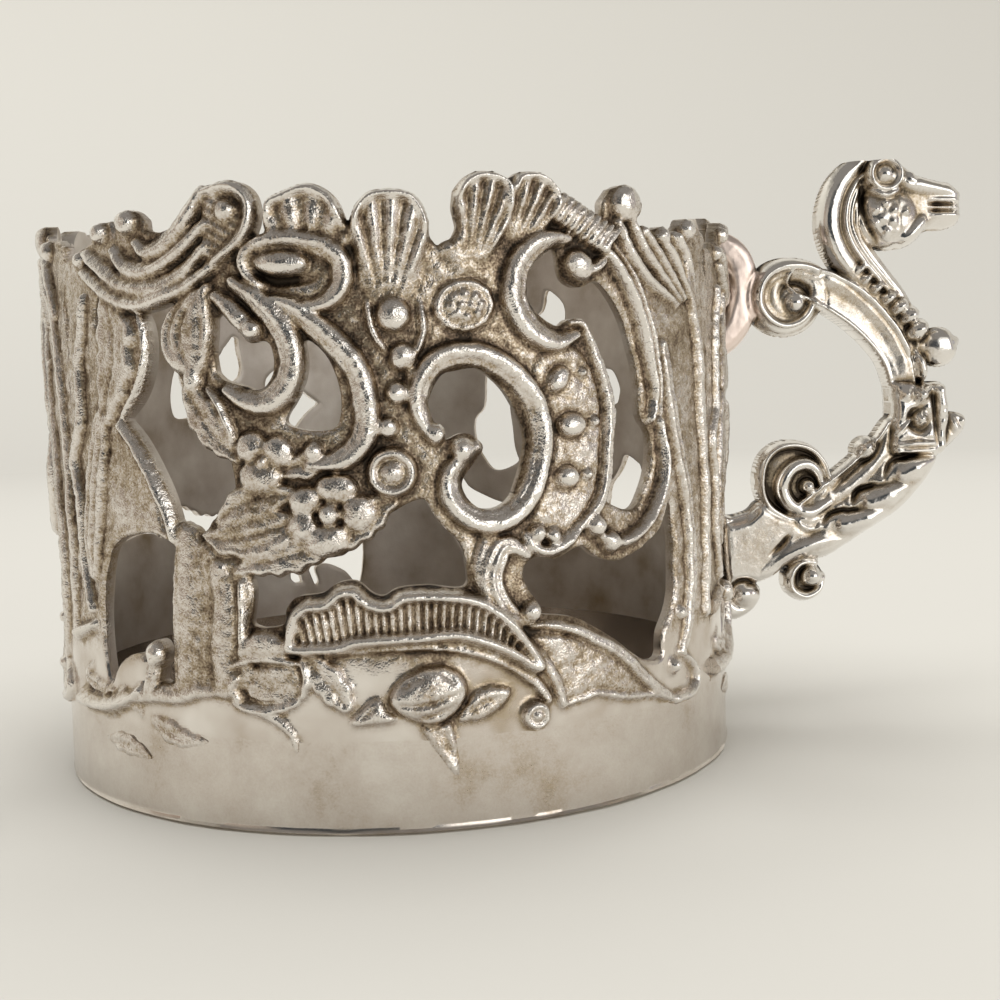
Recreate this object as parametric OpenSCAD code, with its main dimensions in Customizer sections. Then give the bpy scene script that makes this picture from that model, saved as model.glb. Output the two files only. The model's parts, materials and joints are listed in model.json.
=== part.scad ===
// Silver holder for a tea glass: a plain band, an openwork wall of three castings and a cast handle
// The origin is on the axis of the cup at its underside, +Z is up and the handle lies along +X

/* [Glass and wall] */
// Outer diameter of the tea glass
glass_d = 68; // [62:0.5:74]
// Room between the glass and the holder, on the radius
glass_room = 0.25; // [0.15:0.05:0.4]
// Thickness of the wall
wall_t = 1.25; // [1:0.05:1.6]
// Thickness of the base plate
plate_t = 0.8; // [0.6:0.1:1.2]
// How far the lip of the base plate stands out past the band
lip_out = 0.3; // [0.1:0.1:0.6]
// Height of the plain band above the underside
band_h = 8.8; // [7:0.1:9.5]
// Height at which the openwork starts
open_base = 11.7; // [11:0.1:13]
// Height of the highest point of the crest
crest_h = 56.7; // [52:0.1:62]
// Solder seam between castings, on the arc
seam = 0.1; // [0.05:0.05:0.2]

/* [Relief] */
// Gap between an ornament and the wall that it is soldered to
seat = 0.05; // [0.03:0.01:0.1]
// Height of the scroll ribs above the wall
rib_h = 1.5; // [1:0.1:2]
// Width of the widest scroll rib
rib_w = 2.4; // [1.8:0.1:2.8]
// Height of the leaves and shells above the wall
leaf_h = 1.0; // [0.7:0.1:1.3]
// Height of the domes and beads
dome_h = 1.6; // [1:0.1:2]

/* [Handle] */
// How far the handle reaches out from the wall
handle_reach = 28.9; // [26:0.1:32]
// Width of the C strap, across the handle
strap_w = 6; // [5:0.1:7]
// Depth of the C strap, in the plane of the handle
strap_d = 4.6; // [4:0.1:5]
// Width of the animal head
head_w = 6.4; // [5.5:0.1:7.5]
// Room between parts of the handle
joint_room = 0.12; // [0.1:0.02:0.2]

/* [Hidden] */
$fn = 48;

castings = 3;
casting_turn = 360 / castings;
wall_fn = 120;
overrun = 1;
r_in = glass_d / 2 + glass_room;
r_out = r_in + wall_t;
open_h = crest_h - open_base;
seam_turn = seam / r_out * 180 / PI;
percent = 1 / 100;

// Openings of one casting, as [turn in degrees, percent of the openwork's height]
left_opening_shares = [[-40, 75], [-34.5, 78], [-35, 70], [-33, 64], [-31.5, 57], [-29, 52],
    [-24, 48], [-23, 43], [-26.5, 37.5], [-29, 34], [-33, 35], [-36, 42], [-41.5, 54], [-38.5, 60],
    [-37.5, 68]];
corner_opening_shares = [[-43, 51], [-39.5, 44], [-36.5, 36], [-34.5, 29], [-34, 18], [-34, 9],
    [-36, 13], [-38, 13], [-39.5, 6], [-41, 3], [-46, 2.5], [-49.5, 6], [-50.5, 12], [-51, 23],
    [-48, 28], [-45, 26], [-44, 36]];
slit_shares = [[-51, 80], [-48.5, 79], [-49, 73], [-51, 70]];
inner_c_opening_shares = [[-25.5, 73], [-24.5, 75.5], [-23, 76], [-21.5, 73], [-20, 70], [-18, 70],
    [-17, 67], [-17, 63], [-19, 60], [-22, 61.5], [-25.3, 64]];
outer_c_opening_shares = [[-12, 70], [-10, 69.5], [-8, 66], [-7, 60], [-7, 55], [-8.6, 52.5],
    [-12.7, 52.5], [-15, 54.5], [-13, 59.5], [-12, 65]];
s_opening_shares = [[24.5, 86], [21.7, 85], [19.5, 81.5], [19.2, 78], [19.8, 75], [21.5, 72.5],
    [24.3, 70.5], [28, 71], [30, 68], [32.2, 62], [33, 55], [32.5, 45], [31, 38], [33, 35],
    [37, 34], [39.5, 37], [42, 42], [42.3, 49], [40, 53], [40, 61], [39, 65.5], [37, 72], [34, 77],
    [31, 80], [28, 79], [25.7, 81]];
large_c_opening_shares = [[5, 55], [5.5, 52], [6.5, 49.5], [9, 48], [9.5, 43], [9.2, 40], [11, 37],
    [13.3, 36], [15.5, 36.5], [17, 39.5], [18.4, 45], [18.8, 50.5], [18.3, 55], [16.5, 58.5],
    [13.4, 62.5], [10.2, 64.5], [7, 63], [5.2, 60]];
right_opening_shares = [[18, 24], [18.8, 20], [20.3, 16], [26, 14], [29.6, 11], [33.5, 7.5],
    [36, 4.7], [39, 2.5], [43, 2.5], [43.5, 7.5], [45.7, 11.5], [47, 16], [47.5, 23], [47, 27.5],
    [46, 36], [43.5, 29.5], [39.5, 27], [36.4, 24.5], [33.5, 24], [30, 26], [27, 28], [23.3, 26],
    [20, 27]];
lower_opening_shares = [[-23.5, 24], [-22, 15.5], [-17, 15.5], [-15.5, 20], [-13, 21.5], [-9, 23],
    [-6, 23.5], [-3, 20.5], [0, 22], [4, 22], [9, 21], [9.5, 25], [8.7, 30.5], [6.5, 33],
    [4.7, 36.5], [3, 38.5], [-3, 37.5], [-4, 33.5], [-7.5, 30], [-13, 28], [-16, 26], [-20, 26]];

// Crest of one casting, from its left seam to its right one
crest_shares = [[-60, 89], [-56, 88], [-51, 91.5], [-48, 94], [-44.6, 95], [-43.8, 91], [-43, 95],
    [-39, 96.5], [-36.8, 94.5], [-36, 91.5], [-33, 91], [-30.5, 92.5], [-29, 94.5], [-28.3, 97],
    [-26.5, 98.3], [-22.5, 99], [-19.3, 98], [-18.5, 95.5], [-18.2, 90.5], [-17.2, 89],
    [-16.7, 91], [-16.4, 95], [-14.5, 97], [-11, 98.5], [-7.5, 96.5], [-6, 92.5], [-5.4, 91.5],
    [-4.8, 94.5], [-2.5, 96.5], [1, 97.5], [4, 96.5], [6, 93], [6.4, 89.5], [7.2, 87.5],
    [8.4, 87.5], [9, 91], [9.4, 95], [11, 98], [13.5, 100], [16.5, 99.6], [17.5, 98.8],
    [18.5, 100], [21, 100], [23.5, 97], [24.3, 95.5], [26.5, 94.5], [29, 91.5], [31.5, 88.5],
    [32.8, 89.5], [33.3, 94], [34.3, 97], [36.7, 98.5], [39, 97.5], [40.6, 95], [41, 92],
    [42.3, 87.5], [44, 90], [47, 90.5], [49, 89.5], [51, 92], [53, 93.5], [56, 92.5], [60, 89]];

// Height above the underside for a percent of the openwork's height
function z_of(p) = open_base + open_h * p * percent;
// Percent of the openwork's height for a length
function percent_of(l) = l / (open_h * percent);
// A point on the wall from its turn, its height and its radius
function at(turn, z, r) = [r * sin(turn), -r * cos(turn), z];
// Arc length on the outside of the wall for a turn
function arc_of(turn) = r_out * turn * PI / 180;
function turn_of(s) = s / r_out * 180 / PI;
function flat(q) = [arc_of(q[0]), z_of(q[1])];
function mid(a, b, t) = a + (b - a) * t;
function curve(a, b, c, d, t) =
    (2 * b + (c - a) * t + (2 * a - 5 * b + 4 * c - d) * t * t + (3 * b - a - 3 * c + d) * t * t * t) / 2;
// A smooth line through points, with a number of steps from each to the next
function smooth(q, steps) = let (e = len(q) - 1) concat(
    [for (i = [0:e - 1], k = [0:steps - 1])
        curve(q[max(i - 1, 0)], q[i], q[i + 1], q[min(i + 2, e)], k / steps)], [q[e]]);
function smooth_ring(q, steps) = let (c = len(q)) [for (i = [0:c - 1], k = [0:steps - 1])
    curve(q[(i + c - 1) % c], q[i], q[(i + 1) % c], q[(i + 2) % c], k / steps)];
// The value of an evenly spaced list at a share of its length
function along(list, f) = let (e = len(list) - 1, i = min(floor(f * e), e - 1))
    mid(list[i], list[i + 1], f * e - i);
function unit(v) = v / norm(v);
function crest_at(turn) = lookup(turn, crest_shares);
function crest_line(from, to, steps, drop) = [for (i = [0:steps])
    let (t = mid(from, to, i / steps)) [t, crest_at(t) - drop]];

// Triangles of a closed tube of rings, each with m points
function tube_faces(rings, m) = concat(
    [for (i = [0:rings - 2], j = [0:m - 1]) [i * m + j, i * m + (j + 1) % m, (i + 1) * m + j]],
    [for (i = [0:rings - 2], j = [0:m - 1])
        [i * m + (j + 1) % m, (i + 1) * m + (j + 1) % m, (i + 1) * m + j]],
    [for (j = [1:m - 2]) [0, j + 1, j]],
    [for (j = [1:m - 2]) [(rings - 1) * m, (rings - 1) * m + j, (rings - 1) * m + j + 1]]);

// Cross-section of a rib, as shares of its half width and its height
rib_profile_shares = [[-1, 0], [-0.62, 0.75], [0, 1], [0.62, 0.75], [1, 0]];
leaf_profile_shares = [[-1, 0], [-0.9, 0.45], [-0.4, 0.8], [0, 0.6], [0.4, 0.8], [0.9, 0.45], [1, 0]];
full_taper_shares = [0.35, 0.8, 1, 1, 1, 0.8, 0.35];
tail_taper_shares = [1, 1, 0.9, 0.75, 0.5, 0.2];
leaf_taper_shares = [0.12, 0.7, 1, 0.85, 0.5, 0.1];

// A raised rib that runs on the wall through points in [turn, percent]
module rib(points, width, height, taper = full_taper_shares, steps = 2, profile = rib_profile_shares) {
    q = [for (p = smooth(points, steps)) flat(p)];
    e = len(q) - 1;
    rings = [for (i = [0:e])
        let (t = unit(q[min(i + 1, e)] - q[max(i - 1, 0)]), n = [-t[1], t[0]], f = along(taper, i / e))
        [for (k = profile)
            let (s = q[i] + n * k[0] * f * width / 2)
            at(turn_of(s[0]), s[1], r_out + seat + k[1] * height * sqrt(f))]];
    polyhedron([for (a = rings, b = a) b], tube_faces(e + 1, len(profile)));
}

// A raised sheet between two lines in [turn, percent], with row heights and fluting between them
module relief(low, high, count, rows, flute = 1) {
    m = len(rows) - 1;
    grid = [for (i = [0:count]) let (a = flat(along(low, i / count)), b = flat(along(high, i / count)))
        [for (j = [0:m]) let (s = mid(a, b, j / m), h = rows[j] * (i % 2 == 0 ? 1 : flute))
            [s[0], s[1], h]]];
    w = m + 1;
    size = (count + 1) * w;
    top = [for (a = grid, b = a) at(turn_of(b[0]), b[1], r_out + seat + b[2])];
    foot = [for (a = grid, b = a) at(turn_of(b[0]), b[1], r_out + seat)];
    polyhedron(concat(top, foot), concat(
        [for (i = [0:count - 1], j = [0:m - 1]) each
            [[i * w + j, i * w + j + 1, (i + 1) * w + j],
            [i * w + j + 1, (i + 1) * w + j + 1, (i + 1) * w + j]]],
        [for (i = [0:count - 1], j = [0:m - 1]) each
            [[size + i * w + j, size + (i + 1) * w + j, size + i * w + j + 1],
            [size + i * w + j + 1, size + (i + 1) * w + j, size + (i + 1) * w + j + 1]]],
        [for (i = [0:count - 1]) each
            [[i * w, (i + 1) * w, size + i * w], [(i + 1) * w, size + (i + 1) * w, size + i * w],
            [i * w + m, size + i * w + m, (i + 1) * w + m],
            [(i + 1) * w + m, size + i * w + m, size + (i + 1) * w + m]]],
        [for (j = [0:m - 1]) each
            [[j, size + j, j + 1], [j + 1, size + j, size + j + 1],
            [count * w + j, count * w + j + 1, size + count * w + j],
            [count * w + j + 1, size + count * w + j + 1, size + count * w + j]]]));
}

// Moves its children from the origin, facing +Z, to a place on the outside of the wall
module on_wall(q) {
    rotate([0, 0, q[0]]) translate([0, -r_out - seat, z_of(q[1])]) rotate([90, 0, 0]) children();
}
module on_each_casting() {
    for (i = [0:castings - 1]) rotate([0, 0, i * casting_turn]) children();
}
// A low dome that stands on the plane z = 0
dome_steps = 4;
module dome(r, h) {
    rotate_extrude() polygon(concat([[0, 0]],
        [for (i = [0:dome_steps]) [r * cos(90 * i / dome_steps), h * sin(90 * i / dome_steps)]]));
}

// Body of the holder
module base_plate() {
    color("silver") cylinder(r = r_out + lip_out, h = plate_t, $fn = wall_fn);
}
module base_band() {
    color("silver") difference() {
        translate([0, 0, plate_t]) cylinder(r = r_out, h = band_h - plate_t, $fn = wall_fn);
        cylinder(r = r_in, h = band_h + overrun, $fn = wall_fn);
    }
}
module opening(shares, steps = 2) {
    turns = [for (q = shares) q[0]];
    middle = (min(turns) + max(turns)) / 2;
    rotate([0, 0, middle]) translate([0, -r_in + overrun, 0]) rotate([90, 0, 0])
        linear_extrude(wall_t + 2 * overrun)
        polygon([for (q = smooth_ring(shares, steps)) [r_out * sin(q[0] - middle), z_of(q[1])]]);
}
crest_sectors = 5;
module crest_cut() {
    step = casting_turn / crest_sectors;
    for (i = [0:crest_sectors - 1]) {
        middle = (i + 0.5) * step - casting_turn / 2;
        from = middle - step * 0.55;
        to = middle + step * 0.55;
        line = concat([[from, crest_at(max(from, -casting_turn / 2))]],
            [for (q = crest_shares) if (q[0] > from && q[0] < to) q],
            [[to, crest_at(min(to, casting_turn / 2))]]);
        rotate([0, 0, middle]) translate([0, -r_in + overrun, 0]) rotate([90, 0, 0])
            linear_extrude(wall_t + 2 * overrun)
            polygon(concat([for (q = line) [r_out * sin(q[0] - middle), z_of(q[1])]],
                [[r_out * sin(to - middle), crest_h + 2 * overrun],
                [r_out * sin(from - middle), crest_h + 2 * overrun]]));
    }
}
module wall_casting() {
    difference() {
        rotate([0, 0, -90 - casting_turn / 2 + seam_turn / 2])
            rotate_extrude(angle = casting_turn - seam_turn, $fn = wall_fn)
            translate([r_in, band_h]) square([wall_t, crest_h - band_h + overrun]);
        crest_cut();
        opening(left_opening_shares);
        opening(corner_opening_shares);
        opening(slit_shares);
        opening(inner_c_opening_shares);
        opening(outer_c_opening_shares);
        opening(s_opening_shares);
        opening(large_c_opening_shares);
        opening(right_opening_shares);
        opening(lower_opening_shares);
    }
}
module front_wall() {
    color("lightsteelblue") wall_casting();
}
module right_wall() {
    color("lightsteelblue") rotate([0, 0, casting_turn]) wall_casting();
}
module left_wall() {
    color("lightsteelblue") rotate([0, 0, -casting_turn]) wall_casting();
}

// Ornaments of the crest
frond_shares = [
    [[-38.5, 92], [-36.3, 89], [-33, 88], [-30, 89.5], [-28, 93]],
    [[-45.2, 92], [-43.8, 87.5], [-40.5, 84.5], [-35.5, 84], [-31, 85.5], [-27.6, 89]],
    [[-48.5, 90], [-46.8, 84], [-43, 80], [-37.5, 79.2], [-32.5, 80.5], [-28, 84.5]]];
module crest_fronds() {
    color("gainsboro") on_each_casting() for (f = frond_shares) rib(f, rib_w * 0.62, rib_h * 0.9);
}
curl_r = 2.2;
curl_shares = [-22.8, 94];
knob_r = 2.0;
knob_shares = [36.9, 94.2];
knob_stem_shares = [
    [[36, 91.5], [37.6, 86], [40.5, 80.5], [44, 76]],
    [[38.6, 92], [40.2, 87], [43.4, 82], [46.6, 77]]];
module crest_curls() {
    color("gainsboro") on_each_casting() {
        on_wall(curl_shares) dome(curl_r, dome_h);
        rib([[-26, 94], [-25.8, 88], [-24.6, 83]], rib_w * 0.6, rib_h * 0.8);
        on_wall(knob_shares) dome(knob_r, dome_h);
        for (s = knob_stem_shares) rib(s, rib_w * 0.55, rib_h * 0.8, tail_taper_shares);
        rib([[48, 88], [50, 86], [52, 87], [53.5, 90]], rib_w * 0.7, rib_h * 0.7, leaf_taper_shares);
    }
}
lobe_rows = [leaf_h * 0.5, leaf_h * 0.9, leaf_h];
module crest_lobes() {
    color("gainsboro") on_each_casting() {
        relief([[-12.5, 90.5], [-10.5, 90.2], [-8.5, 90.5]], crest_line(-15.8, -6.6, 10, 0.5), 12,
            lobe_rows, 0.7);
        relief([[-2.2, 79], [-0.5, 78.5], [1.2, 79]], crest_line(-4.5, 5.6, 12, 0.5), 14,
            lobe_rows, 0.6);
    }
}
module crest_double_shell() {
    color("gainsboro") on_each_casting()
        relief([[12, 84], [14, 83.5], [16, 85.5], [18, 88]], crest_line(9.6, 23.4, 16, 0.5), 20,
            lobe_rows, 0.6);
}
rope_twists = 7;
rope_rise = 1.7;
module rope_scrolls() {
    start = [24.6, 93];
    finish = [31.6, s_rib_shares[0][1] + percent_of(rope_rise)];
    color("gainsboro") on_each_casting() for (i = [0:rope_twists - 1]) {
        c = mid(start, finish, i / (rope_twists - 1));
        rib([c + [-0.8, -1.5], c, c + [0.8, 1.5]], rib_w * 0.3, rib_h * 0.8, steps = 1);
    }
}
volute_shares = [[-9.5, 79], [-6.8, 82], [-8, 87], [-11.8, 89.2], [-16.5, 89], [-19.8, 86.3],
    [-19.5, 82.8], [-16.5, 81.6], [-13.5, 83.8]];
module spiral_volutes() {
    color("gainsboro") on_each_casting() rib(volute_shares, rib_w * 0.7, rib_h, tail_taper_shares);
}

// Scrolls round the openings
upper_c_shares = [[25.3, 88], [21.6, 87.6], [18.4, 84], [17.2, 78.5], [18, 73.5], [20.3, 69.5],
    [23.3, 67.5], [25.6, 68.8]];
module upper_c_scrolls() {
    color("gainsboro") on_each_casting() rib(upper_c_shares, rib_w * 0.75, rib_h);
}
s_rib_shares = [[30.5, 82.5], [33.5, 80.8], [36.8, 76.5], [39.4, 71], [41.2, 64], [42.3, 57],
    [42.5, 53]];
lower_s_shares = [[43.8, 49], [44.3, 43], [43, 37], [40, 32], [36.8, 29.8], [33.6, 30.2]];
teardrop_r = 1.8;
teardrop_shares = [28, 83];
foot_ball_r = 1.2;
foot_ball_shares = [31, 32.8];
module s_scrolls() {
    color("gainsboro") on_each_casting() {
        on_wall(teardrop_shares) dome(teardrop_r, dome_h);
        rib(s_rib_shares, rib_w * 0.65, rib_h, tail_taper_shares);
        rib(lower_s_shares, rib_w * 0.65, rib_h);
        on_wall(foot_ball_shares) dome(foot_ball_r, dome_h);
    }
}
inner_c_shares = [[-22.3, 80], [-19, 76.8], [-16, 72.8], [-14.4, 68], [-14.3, 62.8], [-15.6, 58.5],
    [-18, 57], [-21, 57.6], [-24, 60]];
outer_c_shares = [[-15.2, 77.5], [-11.3, 74], [-7.6, 69.5], [-5.3, 64.5], [-4.7, 59], [-5.2, 53.5],
    [-7, 49.8], [-9.8, 48.2], [-12.8, 48.2]];
module inner_c_scrolls() {
    color("gainsboro") on_each_casting() rib(inner_c_shares, rib_w, rib_h, tail_taper_shares);
}
module outer_c_scrolls() {
    color("gainsboro") on_each_casting() rib(outer_c_shares, rib_w, rib_h, tail_taper_shares);
}
large_c_shares = [[5.4, 49.5], [3.6, 53.5], [2.8, 58], [3.8, 62.5], [6.6, 66], [10.2, 67.3],
    [14, 65.7], [17.3, 62.2], [19.8, 57.5], [21, 51.5], [20.8, 45.5], [19.3, 40], [17.2, 35.8],
    [14.2, 33.6], [11, 34], [8.2, 36.6], [7, 40.4], [7.4, 43.8], [9.2, 46.6], [11.4, 48.6]];
large_c_taper_shares = [0.5, 0.8, 0.95, 1, 1, 1, 1, 1, 1, 0.9, 0.6];
module large_c_scrolls() {
    color("gainsboro") on_each_casting()
        rib(large_c_shares, rib_w * 0.8, rib_h, large_c_taper_shares);
}
column_dome_r = 1.7;
// Places of the domes and their radii as shares of the largest
dome_shares = [[-0.2, 74, 1], [0.9, 66, 0.76], [-0.6, 59.5, 0.65], [-1.2, 53, 0.59]];
module dome_columns() {
    color("gainsboro") on_each_casting() for (d = dome_shares)
        on_wall(d) dome(d[2] * column_dome_r, dome_h * 0.8);
}

// Small ornaments
cartouche_shares = [[6.6, 75.5], [8.3, 75.5], [10, 75.5], [11.7, 75.5], [13.4, 75.5]];
cartouche_w = 3.6;
module cartouches() {
    color("gainsboro") on_each_casting()
        rib(cartouche_shares, cartouche_w, leaf_h * 0.7, full_taper_shares, profile = leaf_profile_shares);
}
oval_shares = [[24.3, 61.5], [26.2, 52], [25.4, 42]];
bead_shares = [[29.6, 52], [28.8, 42.3]];
oval_w = 2.2;
oval_l = 2.7;
bead_r = 0.7;
module oval_beads() {
    color("gainsboro") on_each_casting() {
        for (o = oval_shares)
            rib([o - [turn_of(oval_l / 2), 0], o, o + [turn_of(oval_l / 2), 0]], oval_w, leaf_h);
        for (b = bead_shares) on_wall(b) dome(bead_r, leaf_h);
    }
}
rosette_r = 2.4;
rosette_shares = [-0.8, 43.5];
module rosettes() {
    color("gainsboro") on_each_casting() on_wall(rosette_shares) rotate_extrude() polygon([[0, 0],
        [rosette_r, 0], [rosette_r * 0.92, dome_h * 0.7], [rosette_r * 0.72, dome_h * 0.75],
        [rosette_r * 0.6, dome_h * 0.3], [rosette_r * 0.5, dome_h * 0.7],
        [rosette_r * 0.25, dome_h], [0, dome_h]]);
}
petals = 5;
petal_r = 1.35;
flower_r = 2.5;
flower_disc_h = 0.5;
flower_drop = 3.87;
flower_shares = [-9.5, outer_c_shares[len(outer_c_shares) - 1][1] - percent_of(flower_drop)];
module flowers() {
    color("gainsboro") on_each_casting() on_wall(flower_shares) {
        cylinder(r = flower_r + petal_r * 0.4, h = flower_disc_h);
        translate([0, 0, flower_disc_h]) {
            dome(flower_r - petal_r * 1.1, dome_h * 0.8);
            for (i = [0:petals - 1])
                rotate([0, 0, i * 360 / petals]) translate([flower_r, 0, 0]) dome(petal_r, dome_h * 0.5);
        }
    }
}
bud_lobes = 3;
bud_r = 1.6;
bud_shares = [-19.6, 46.8];
module buds() {
    color("gainsboro") on_each_casting() on_wall(bud_shares)
        for (i = [0:bud_lobes - 1]) rotate([0, 0, 90 + i * 360 / bud_lobes])
            translate([bud_r * 1.25, 0, 0]) dome(bud_r, dome_h * 0.8);
}

// Leaves
module spray_leaves() {
    color("gainsboro") on_each_casting() {
        rib([[-28.2, 33.5], [-25, 31.5], [-21, 32.5], [-17, 35], [-14.5, 37.5]], rib_w * 2, leaf_h,
            leaf_taper_shares, profile = leaf_profile_shares);
        rib([[-18, 41], [-16.4, 44.5], [-13.4, 47]], rib_w * 0.8, leaf_h, leaf_taper_shares);
    }
}
module side_leaves() {
    color("gainsboro") on_each_casting() {
        rib([[-29.5, 79], [-31, 74], [-31.2, 69], [-29.8, 64], [-28, 60]], rib_w * 1.3, leaf_h,
            leaf_taper_shares, profile = leaf_profile_shares);
        rib([[-27.5, 57], [-26.6, 53.5], [-25, 50.5]], rib_w * 1.1, leaf_h, leaf_taper_shares);
    }
}
module pendant_leaves() {
    color("gainsboro") on_each_casting() {
        rib([[-44.5, 77], [-45.2, 70], [-45, 63], [-44.3, 57]], rib_w * 2, leaf_h * 1.2,
            [0.3, 0.85, 1, 1, 0.8, 0.3], profile = leaf_profile_shares);
        rib([[-45.6, 53.5], [-47.6, 46], [-49.3, 38], [-49.6, 31]], rib_w * 1.5, leaf_h,
            [0.4, 0.8, 1, 0.9, 0.4], profile = leaf_profile_shares);
    }
}
post_curl_shares = [[19.6, 30.8], [16.4, 29.4], [14.2, 26], [13.9, 21.5], [15.6, 17.8], [18.2, 15.6]];
crescent_curl_shares = [[29.2, 37], [26.8, 33.5], [23.8, 32.6], [22.6, 35.2]];
crescent_edge_shares = [[26.6, 73.4], [29.2, 70.4], [31.2, 65.4], [31.8, 58], [31.6, 50], [30.6, 42]];
module post_curls() {
    color("gainsboro") on_each_casting() {
        rib(post_curl_shares, rib_w * 0.7, rib_h * 0.9);
        rib(crescent_curl_shares, rib_w * 0.6, rib_h * 0.9);
        rib(crescent_edge_shares, rib_w * 0.35, rib_h * 0.6);
    }
}
comb_low_shares = [[-13.6, 10], [-8, 12], [-2, 13], [4, 12.8], [9, 11], [14, 7.8], [18.6, 3.6]];
comb_high_shares = [[-15.6, 17], [-13.8, 20], [-11, 19.5], [-8.6, 22], [-5.6, 22.5], [-3.4, 19.4],
    [-0.6, 21.4], [4, 21.2], [9, 19.8], [13, 17.5], [16.4, 13.5], [19.6, 7]];
comb_flutes = 26;
comb_rows = [leaf_h * 0.7, leaf_h * 1.2, leaf_h * 1.1];
module comb_shells() {
    color("gainsboro") on_each_casting()
        relief(comb_low_shares, comb_high_shares, comb_flutes, comb_rows, 0.55);
}
lower_rib_shares = [[-12.6, 7.4], [-8, 9.4], [-2, 10.4], [4, 10], [9.4, 8], [14.4, 4.6],
    [18.8, 0.2], [21.4, -3.6]];
sweep_rib_shares = [[17.4, 11.4], [20.4, 7], [22.8, 1.6], [23.6, -3.6], [22.6, -7.4]];
scroll_ball_r = 1.4;
scroll_ball_shares = [19.6, -6];
module lower_ribs() {
    color("gainsboro") on_each_casting() {
        rib(lower_rib_shares, rib_w * 0.55, rib_h * 0.7);
        rib(sweep_rib_shares, rib_w * 0.55, rib_h * 0.7);
        on_wall(scroll_ball_shares) dome(scroll_ball_r, dome_h);
    }
}
leaf_low_shares = [[25, -3.6], [29, -1.8], [34, -2.4], [40, -4]];
leaf_high_shares = [[20.8, 11.6], [26, 11], [31, 7.6], [35.4, 2.4], [40.4, -1.4]];
module leaf_panels() {
    color("gainsboro") on_each_casting() {
        relief(leaf_low_shares, leaf_high_shares, 12, [leaf_h * 0.9, leaf_h * 0.4, leaf_h * 0.9]);
        rib([[41.5, -3], [46, -4.6], [50.6, -3.4], [53.2, 0.4], [51.4, 3.4]], rib_w * 0.6, rib_h * 0.8);
    }
}
column_shares = [
    [[51.2, 84], [52.8, 77], [54.4, 68], [55.8, 58], [56.8, 46], [57.2, 34], [57.4, 22], [57.4, 10]],
    [[46.6, 64], [47, 56], [47.6, 47], [49.8, 38], [51.4, 28], [51, 17], [49, 10]]];
module edge_columns() {
    color("gainsboro") on_each_casting()
        for (c = column_shares) rib(c, rib_w * 0.75, rib_h * 0.8);
}

// Low ornaments over the band
flower_leaf_shares = [
    [[8, -1.5], [10.6, 0.2], [13, 0.4], [15.6, -0.8]],
    [[-1.6, -2.4], [-3.6, -2.6], [-5.6, -3.6], [-7.6, -4.6]],
    [[4.8, -5.6], [5.6, -8.6], [6.6, -11.6], [7.6, -14.6]]];
module band_flowers() {
    color("gainsboro") on_each_casting() {
        rib([[-1, 2.8], [1.2, 3.6], [3.4, 2.6], [5.6, 2.2], [7.4, 1]], rib_w * 1.8, leaf_h,
            full_taper_shares, profile = leaf_profile_shares);
        for (l = flower_leaf_shares) rib(l, rib_w, leaf_h * 0.5, leaf_taper_shares);
        rib([[-25, 3.4], [-19, 2.6], [-14.4, 3.4]], rib_w * 1.4, leaf_h, full_taper_shares);
        rib([[-12.4, 5], [-10.6, 2], [-8.4, -0.4]], rib_w, leaf_h, full_taper_shares);
    }
}
corner_c_shares = [[-56, 14], [-58.6, 9], [-58.2, 2.6], [-54.8, -2], [-49, -3.6], [-43, -2.4]];
right_curl_shares = [[50, 7.6], [47.6, 6.4], [46, 2.6], [47.8, -0.4], [50, 1.4]];
corner_knob_r = 1.7;
corner_knob_shares = [-37, 7.4];
module corner_scrolls() {
    color("gainsboro") on_each_casting() {
        rib(corner_c_shares, rib_w, rib_h);
        rib(right_curl_shares, rib_w * 0.55, rib_h * 0.9);
        on_wall(corner_knob_shares) dome(corner_knob_r, dome_h);
        rib([[-44, -7], [-40, -6.6], [-35, -9], [-31, -11]], rib_w * 0.9, leaf_h * 0.6, leaf_taper_shares);
    }
}

// The handle lies in the plane y = 0: places are [percent of its reach, percent of the crest's height]
handle_x = r_out + seat;
function hx(p) = handle_x + handle_reach * p * percent;
function hz(p) = crest_h * p * percent;
function spot(q) = [hx(q[0]), hz(q[1])];

// A bar swept in the plane of the handle, with shares of its width and its depth along it
bar_sides = 8;
module bar(points, width, depth, widths, depths, steps = 3) {
    q = [for (p = smooth(points, steps)) spot(p)];
    e = len(q) - 1;
    rings = [for (i = [0:e])
        let (t = unit(q[min(i + 1, e)] - q[max(i - 1, 0)]), n = [t[1], -t[0]],
            a = along(widths, i / e) * width / 2, b = along(depths, i / e) * depth / 2)
        [for (k = [0:bar_sides - 1])
            let (c = cos((k + 0.5) * 360 / bar_sides), s = sin((k + 0.5) * 360 / bar_sides),
                p = q[i] + n * b * c)
            [p[0], -a * s, p[1]]]];
    polyhedron([for (r = rings, v = r) v], tube_faces(e + 1, bar_sides));
}
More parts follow.
